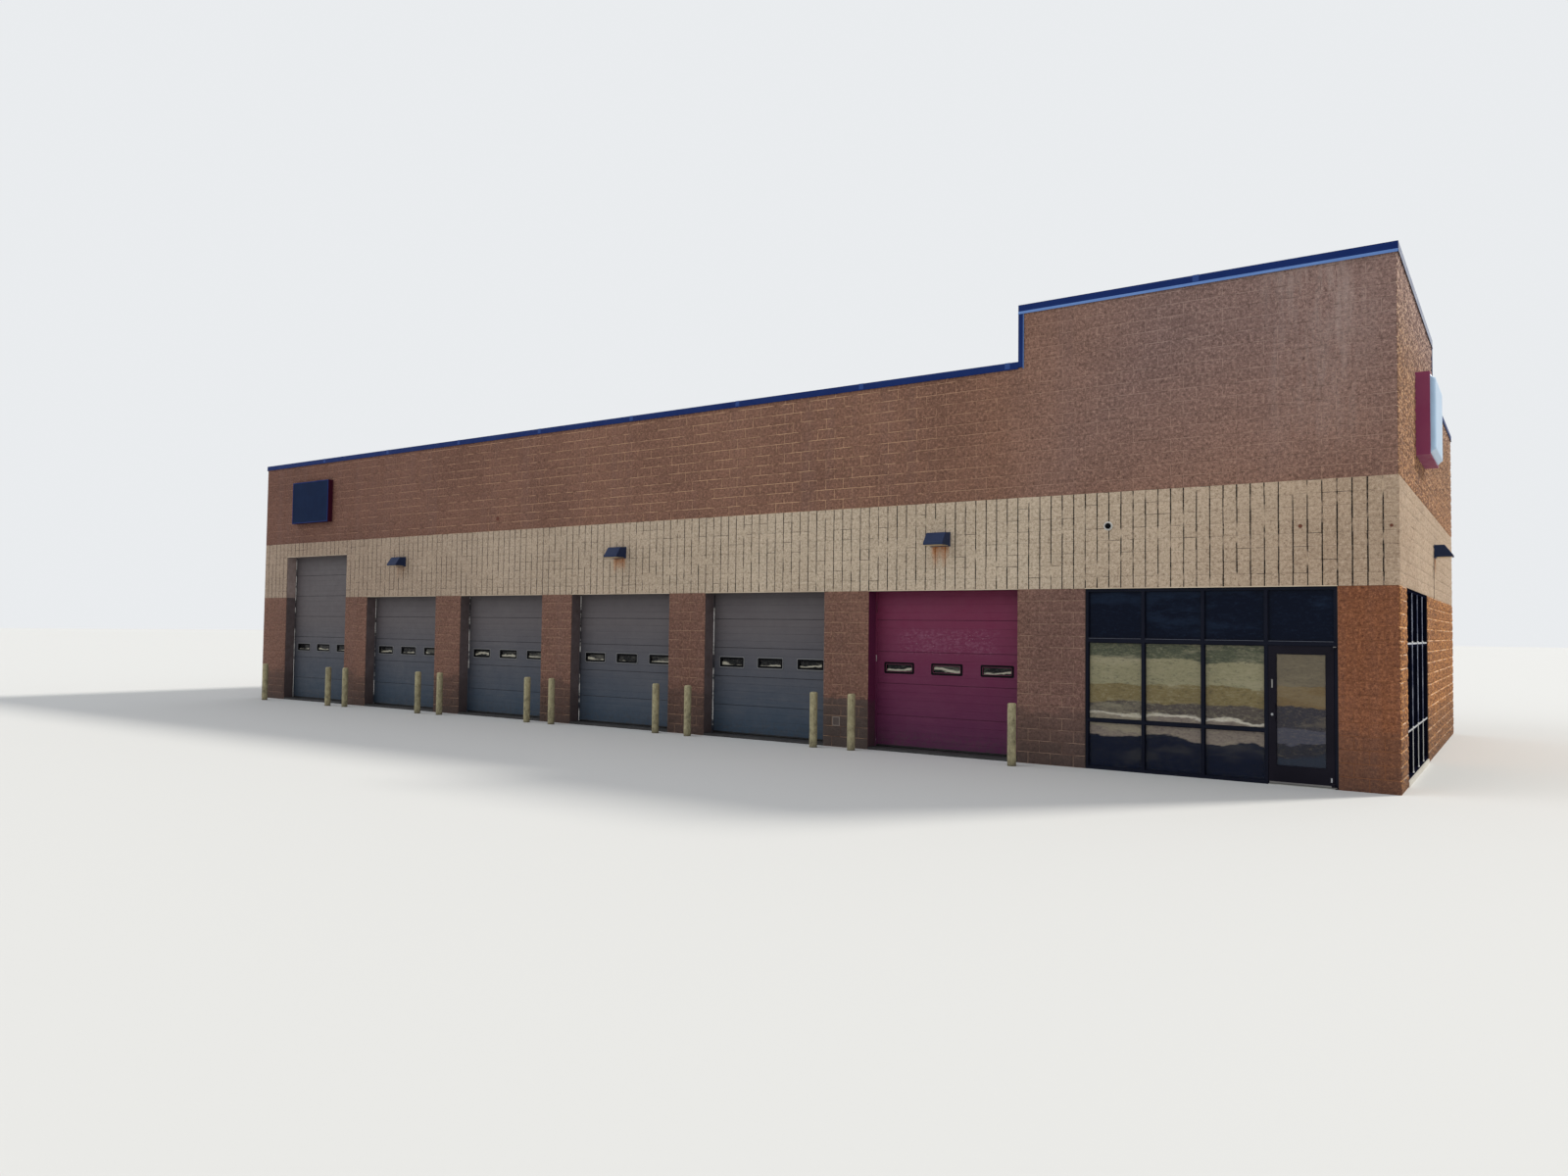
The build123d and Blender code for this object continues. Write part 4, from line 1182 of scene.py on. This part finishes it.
def moulded_sign_face():
    """The side sign's face: a sheet that rises from a flat lip to a crowned middle."""
    low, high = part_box("side_sign_face")
    depth, width, height = (high[axis] - low[axis] for axis in range(3))
    count, lip, rise, crown = 36, 0.012, 0.06, 0.06
    pan = Solids()
    for j in range(count + 1):
        for i in range(count + 1):
            y, z = width * i / count, height * j / count
            inset = min(y, width - y, z, height - z)
            share = min(1.0, max(0.0, (inset - lip) / rise))
            bulge = share * share * (3 - 2 * share)
            arch = math.sin(math.pi * i / count) * math.sin(math.pi * j / count)
            out = depth * ((1.0 - crown) * bulge + crown * arch)
            pan.points.append((low.x + out, low.y + y, low.z + z))
    pan.faces = grid_faces(0, count, count)
    moulded = build("side_sign_moulded_face", pan, WHITE_FACE, "white_sign_face", smooth=True)
    moulded.modifiers.new("sheet", "SOLIDIFY").thickness = 0.004
    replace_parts(moulded, "side_sign_face")


def wall_lamps():
    """Wedge housings with a rounded hood, a back plate and a frosted lens below."""
    housing, lens, plates = Solids(), Solids(), Solids()
    boxes = solids_of("wall_lamps")
    first_low, first_high = boxes[0]
    width, out, height = (first_high[axis] - first_low[axis] for axis in range(3))
    top_out, lip = 0.57 * out, 0.038
    wedge = [(0.0, 0.0), (out, 0.0), (out, lip), (top_out, height), (0.0, height)]
    glow = [(0.05, -0.010), (out - 0.025, -0.010), (out - 0.018, 0.004), (0.05, 0.004)]
    back = [(0.0, -0.018), (0.016, -0.018), (0.016, height + 0.012), (0.0, height + 0.012)]
    for low, high in boxes:
        on_right = high.x > RIGHT
        wall = WALLS["right" if on_right else "front"]
        middle = (low.y + high.y) / 2 if on_right else (low.x + high.x) / 2

        def place(a, b, run):
            return wall(middle + run, a, low.z + b)

        for solids, outline, wider in ((housing, wedge, 0.0), (lens, glow, -0.02), (plates, back, 0.008)):
            solids.prism(outline, -wider - width / 2, width / 2 + wider, place)
    shell = build("wall_lamp_housings", housing, LAMP_METAL, "lamp_housing", bevel=0.010)
    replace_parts(shell, "wall_lamps")
    build("wall_lamp_lenses", lens, LENS, "window_glass", bevel=0.003)
    build("wall_lamp_back_plates", plates, LAMP_METAL, "lamp_housing", bevel=0.003)


def round_fixture():
    """A small round fixture: a moulded ring about a dark eye."""
    low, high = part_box("wall_dome")
    place = ((low.x + high.x) / 2, FRONT, (low.z + high.z) / 2)
    radius = (high.x - low.x) / 2
    ring, eye = Solids(), Solids()
    ring.stud([(radius, 0.0), (radius, 0.018), (radius - 0.006, 0.026), (radius - 0.016, 0.030),
               (radius - 0.024, 0.026), (radius - 0.026, 0.014)], 48, *place)
    turns = [math.pi / 2 * k / 10 for k in range(10)]
    eye.stud([(0.047 * math.cos(a), 0.026 + 0.045 * math.sin(a)) for a in turns], 48, *place)
    base = build("round_fixture_ring", ring, WHITE_CAP, "dome_plastic", bevel=0.0015)
    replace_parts(base, "wall_dome")
    build("round_fixture_lens", eye, WINDOW_BLACK, "window_glass", smooth=True)


def bollards():
    """Filled steel posts with a domed top, small dents and thick old paint."""
    posts = Solids()
    sides, rows, dome = 44, 26, 0.034
    for low, high in solids_of("bollards"):
        centre = (low + high) / 2
        radius, height = (high.x - low.x) / 2, high.z
        profile = [(radius, (height - dome) * k / rows) for k in range(rows + 1)]
        profile += [(radius - dome * (1 - math.cos(a)), height - dome * (1 - math.sin(a)))
                    for a in (math.pi / 2 * k / 6 for k in range(1, 7))]
        profile += [(radius * share, height + 0.004 * (1 - share)) for share in (0.38, 0.2)]
        dents = [(random.uniform(0, math.tau), random.uniform(0.2, 0.75), random.uniform(0.001, 0.004))
                 for _ in range(4)]

        def place(a, b, h):
            angle, push = math.atan2(b, a), 0.0
            for turn, level, depth in dents:
                away = ((angle - turn + math.pi) % math.tau - math.pi) ** 2 + ((h - level) / 0.09) ** 2
                push += depth * math.exp(-3.0 * away)
            keep = 1.0 - push / radius
            return (centre.x + a * keep, centre.y + b * keep, min(h, height))

        posts.lathe(profile, sides, place)
    made = build("bollard_posts", posts, BOLLARD_PAINT, "bollard_paint", smooth=True)
    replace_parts(made, "bollards")


# Small marks on the walls: plugs as (x, z, radius), the cover plate's low corner and its size
PLUGS = [(RIGHT - 1.317, 3.969, 0.030), (RIGHT - 0.096, 3.927, 0.024), (RIGHT - 19.76, 4.98, 0.055)]
COVER_PLATE = Vector((RIGHT - 9.737, FRONT, 0.408))
COVER_PLATE_SIZE = Vector((0.174, 0.0, 0.182))
DARK_UPRIGHT_STRIP = ((RIGHT, FRONT + 6.495, DOOR_HEAD), (RIGHT + 0.0125, FRONT + 6.509, 4.1))


def wall_marks():
    """The band's bright lip over the openings, old plugs, a cover plate and a dark upright strip on the right
    wall's band.
    """
    lip = Solids()
    for left, right, head in DOORS + [(SHOP_LEFT, SHOP_RIGHT, DOOR_HEAD)]:
        lip.box((left, FRONT - 0.013, head - 0.004), (right, FRONT + 0.002, head + 0.010))
    build("band_lower_lip", lip, BAND_LIP, "tan_block", bevel=0.002)

    marks = Solids()
    for x, z, radius in PLUGS:
        plug = [(radius, 0.0), (radius, 0.012), (radius * 0.7, 0.018), (radius * 0.3, 0.014)]
        marks.stud(plug, 20, x, FRONT, z)
    build("old_anchor_plugs", marks, RUSTY, "door_hardware")

    low, high = COVER_PLATE, COVER_PLATE + COVER_PLATE_SIZE
    plate, edge = Solids(((low.x, FRONT - 0.012, low.z), (high.x, FRONT, high.z))), Solids()
    edge.ring(low, high, 0.020, FRONT - 0.016, FRONT - 0.010)
    build("painted_cover_plate", plate, PLATE, "brown_block", bevel=0.003)
    build("cover_plate_edge", edge, PLATE_EDGE, "brown_block", bevel=0.002)
    build("dark_upright_strip", Solids(DARK_UPRIGHT_STRIP), CAULK, "tan_block", bevel=0.002)


def roof_laps():
    """Lapped seams of the roof sheet and the flashing strip along the parapets."""
    laps = Solids()
    pitch, lap, thick, rise = 1.9, 0.12, 0.012, 0.30
    x = LEFT_IN + pitch
    while x < RIGHT_IN - 0.5:
        laps.box((x, FRONT_IN + 0.02, ROOF), (x + lap, REAR_IN - 0.02, ROOF + 0.004))
        x += pitch
    build("roof_sheet_laps", laps, LAP, "roof_membrane", bevel=0.001)
    upstand = Solids()
    for x0, x1, y0, y1 in ((LEFT_IN, RIGHT_IN, FRONT_IN, FRONT_IN + thick),
                           (LEFT_IN, RIGHT_IN, REAR_IN - thick, REAR_IN),
                           (LEFT_IN, LEFT_IN + thick, FRONT_IN + thick, REAR_IN - thick),
                           (RIGHT_IN - thick, RIGHT_IN, FRONT_IN + thick, REAR_IN - thick)):
        upstand.box((x0, y0, ROOF), (x1, y1, ROOF + rise))
    build("roof_upstands", upstand, MEMBRANE, "roof_membrane", bevel=0.004)


def dress_solids():
    """Every solid in the finish of its material slot, apart from a few with one of their own."""
    by_slot = {
        "brown_block": BROWN_CORE, "tan_block": TAN_CORE, "concrete": CONCRETE, "roof_membrane": MEMBRANE,
        "navy_metal": NAVY, "grey_door_paint": GREY_SEAM_SHADE, "maroon_door_paint": MAROON_SEAM_SHADE,
        "window_glass": SHOP_GLASS, "bronze_frame": BRONZE, "door_hardware": STEEL,
        "threshold_metal": THRESHOLD, "maroon_sign_box": RED_BOX, "dark_sign_face": DARK_FACE,
        "white_sign_face": WHITE_FACE, "lamp_housing": LAMP_METAL, "dome_plastic": WHITE_CAP,
        "bollard_paint": BOLLARD_PAINT,
    }
    by_node = {
        "side_window_sill": SILL, "door_windows": DOOR_GLASS, "entry_door_glass": ENTRY_GLASS,
        "side_window_glass": SIDE_GLASS, "side_window_frame": SIDE_BRONZE, "front_sign": SHADED_RED_BOX,
        "entry_door": LEAF_BRONZE, "entry_door_hardware": LEAF_BRONZE, "entry_door_closer": STEEL,
    }
    for part in frame["record"]["subparts"]:
        materials = frame["nodes"][part["node"]].data.materials
        materials.clear()
        materials.append(by_node.get(part["node"], by_slot[part["material_slot"]]))


def stage():
    """A plain pale floor, and a pale background that lights the store less than it shows."""
    reach = 300.0
    mesh = bpy.data.meshes.new("floor")
    mesh.from_pydata([(-reach, -reach, 0), (reach, -reach, 0), (reach, reach, 0), (-reach, reach, 0)],
                     [], [(0, 1, 2, 3)])
    mesh.materials.append(Graph("floor_paint").finish((0.62, 0.62, 0.61), 0.95))
    add_object("floor", mesh)

    world = bpy.data.worlds.new("studio")
    bpy.context.scene.world = world
    world.use_nodes = True
    nodes, link = world.node_tree.nodes, world.node_tree.links.new
    lighting, shown = nodes["Background"], nodes.new("ShaderNodeBackground")
    for sky, colour, strength in ((lighting, (0.93, 0.96, 1.0), 0.67), (shown, (0.82, 0.84, 0.86), 1.0)):
        sky.inputs["Color"].default_value = (*colour, 1.0)
        sky.inputs["Strength"].default_value = strength
    rays = nodes.new("ShaderNodeLightPath").outputs
    seen = rays["Is Camera Ray"]
    for ray in ("Is Glossy Ray", "Is Transmission Ray"):
        larger = nodes.new("ShaderNodeMath")
        larger.operation = "MAXIMUM"
        link(seen, larger.inputs[0])
        link(rays[ray], larger.inputs[1])
        seen = larger.outputs[0]
    choose = nodes.new("ShaderNodeMixShader")
    for socket, source in zip(choose.inputs, (seen, lighting.outputs[0], shown.outputs[0])):
        link(source, socket)
    link(choose.outputs[0], nodes["World Output"].inputs["Surface"])


def add_lamp(name, energy, degrees, colour, towards):
    """A soft distant lamp that shines from the given direction."""
    lamp = add_object(name, bpy.data.lights.new(name, "SUN"))
    lamp.data.energy = energy
    lamp.data.angle = math.radians(degrees)
    lamp.data.color = colour
    lamp.rotation_mode = "QUATERNION"
    lamp.rotation_quaternion = Vector(towards).to_track_quat("Z", "Y")


# The camera, at the photograph's place and angle
CAMERA_PLACE = Vector((RIGHT + 1.583, FRONT - 17.928, 2.303))
CAMERA_YAW = math.radians(34.945)
CAMERA_PITCH = math.radians(2.170)
CAMERA_ROLL = math.radians(0.709)
CAMERA_LENS = 24.61
SENSOR = 36.0


def camera():
    ahead = Vector((-math.sin(CAMERA_YAW) * math.cos(CAMERA_PITCH),
                    math.cos(CAMERA_YAW) * math.cos(CAMERA_PITCH), math.sin(CAMERA_PITCH)))
    level = Vector((math.cos(CAMERA_YAW), math.sin(CAMERA_YAW), 0.0))
    upright = level.cross(ahead)
    right = math.cos(CAMERA_ROLL) * level + math.sin(CAMERA_ROLL) * upright
    up = math.cos(CAMERA_ROLL) * upright - math.sin(CAMERA_ROLL) * level
    data = bpy.data.cameras.new("camera")
    data.lens = CAMERA_LENS
    data.sensor_width = SENSOR
    data.sensor_fit = "HORIZONTAL"
    data.clip_end = 1000.0
    made = add_object("camera", data)
    made.matrix_world = Matrix.Translation(CAMERA_PLACE) @ Matrix((right, up, -ahead)).transposed().to_4x4()
    bpy.context.scene.camera = made


masonry()
vehicle_doors()
door_edges()
glazing()
entry_leaf()
copings()
sign_frames()
moulded_sign_face()
wall_lamps()
round_fixture()
bollards()
wall_marks()
roof_laps()
dress_solids()
stage()
add_lamp("key", 2.85, 9, (1.0, 0.96, 0.88), (0.45, 0.58, 0.62))
add_lamp("fill", 0.65, 50, (0.94, 0.97, 1.0), (-0.55, -0.60, 0.58))
camera()
bpy.context.scene.view_settings.view_transform = "Standard"
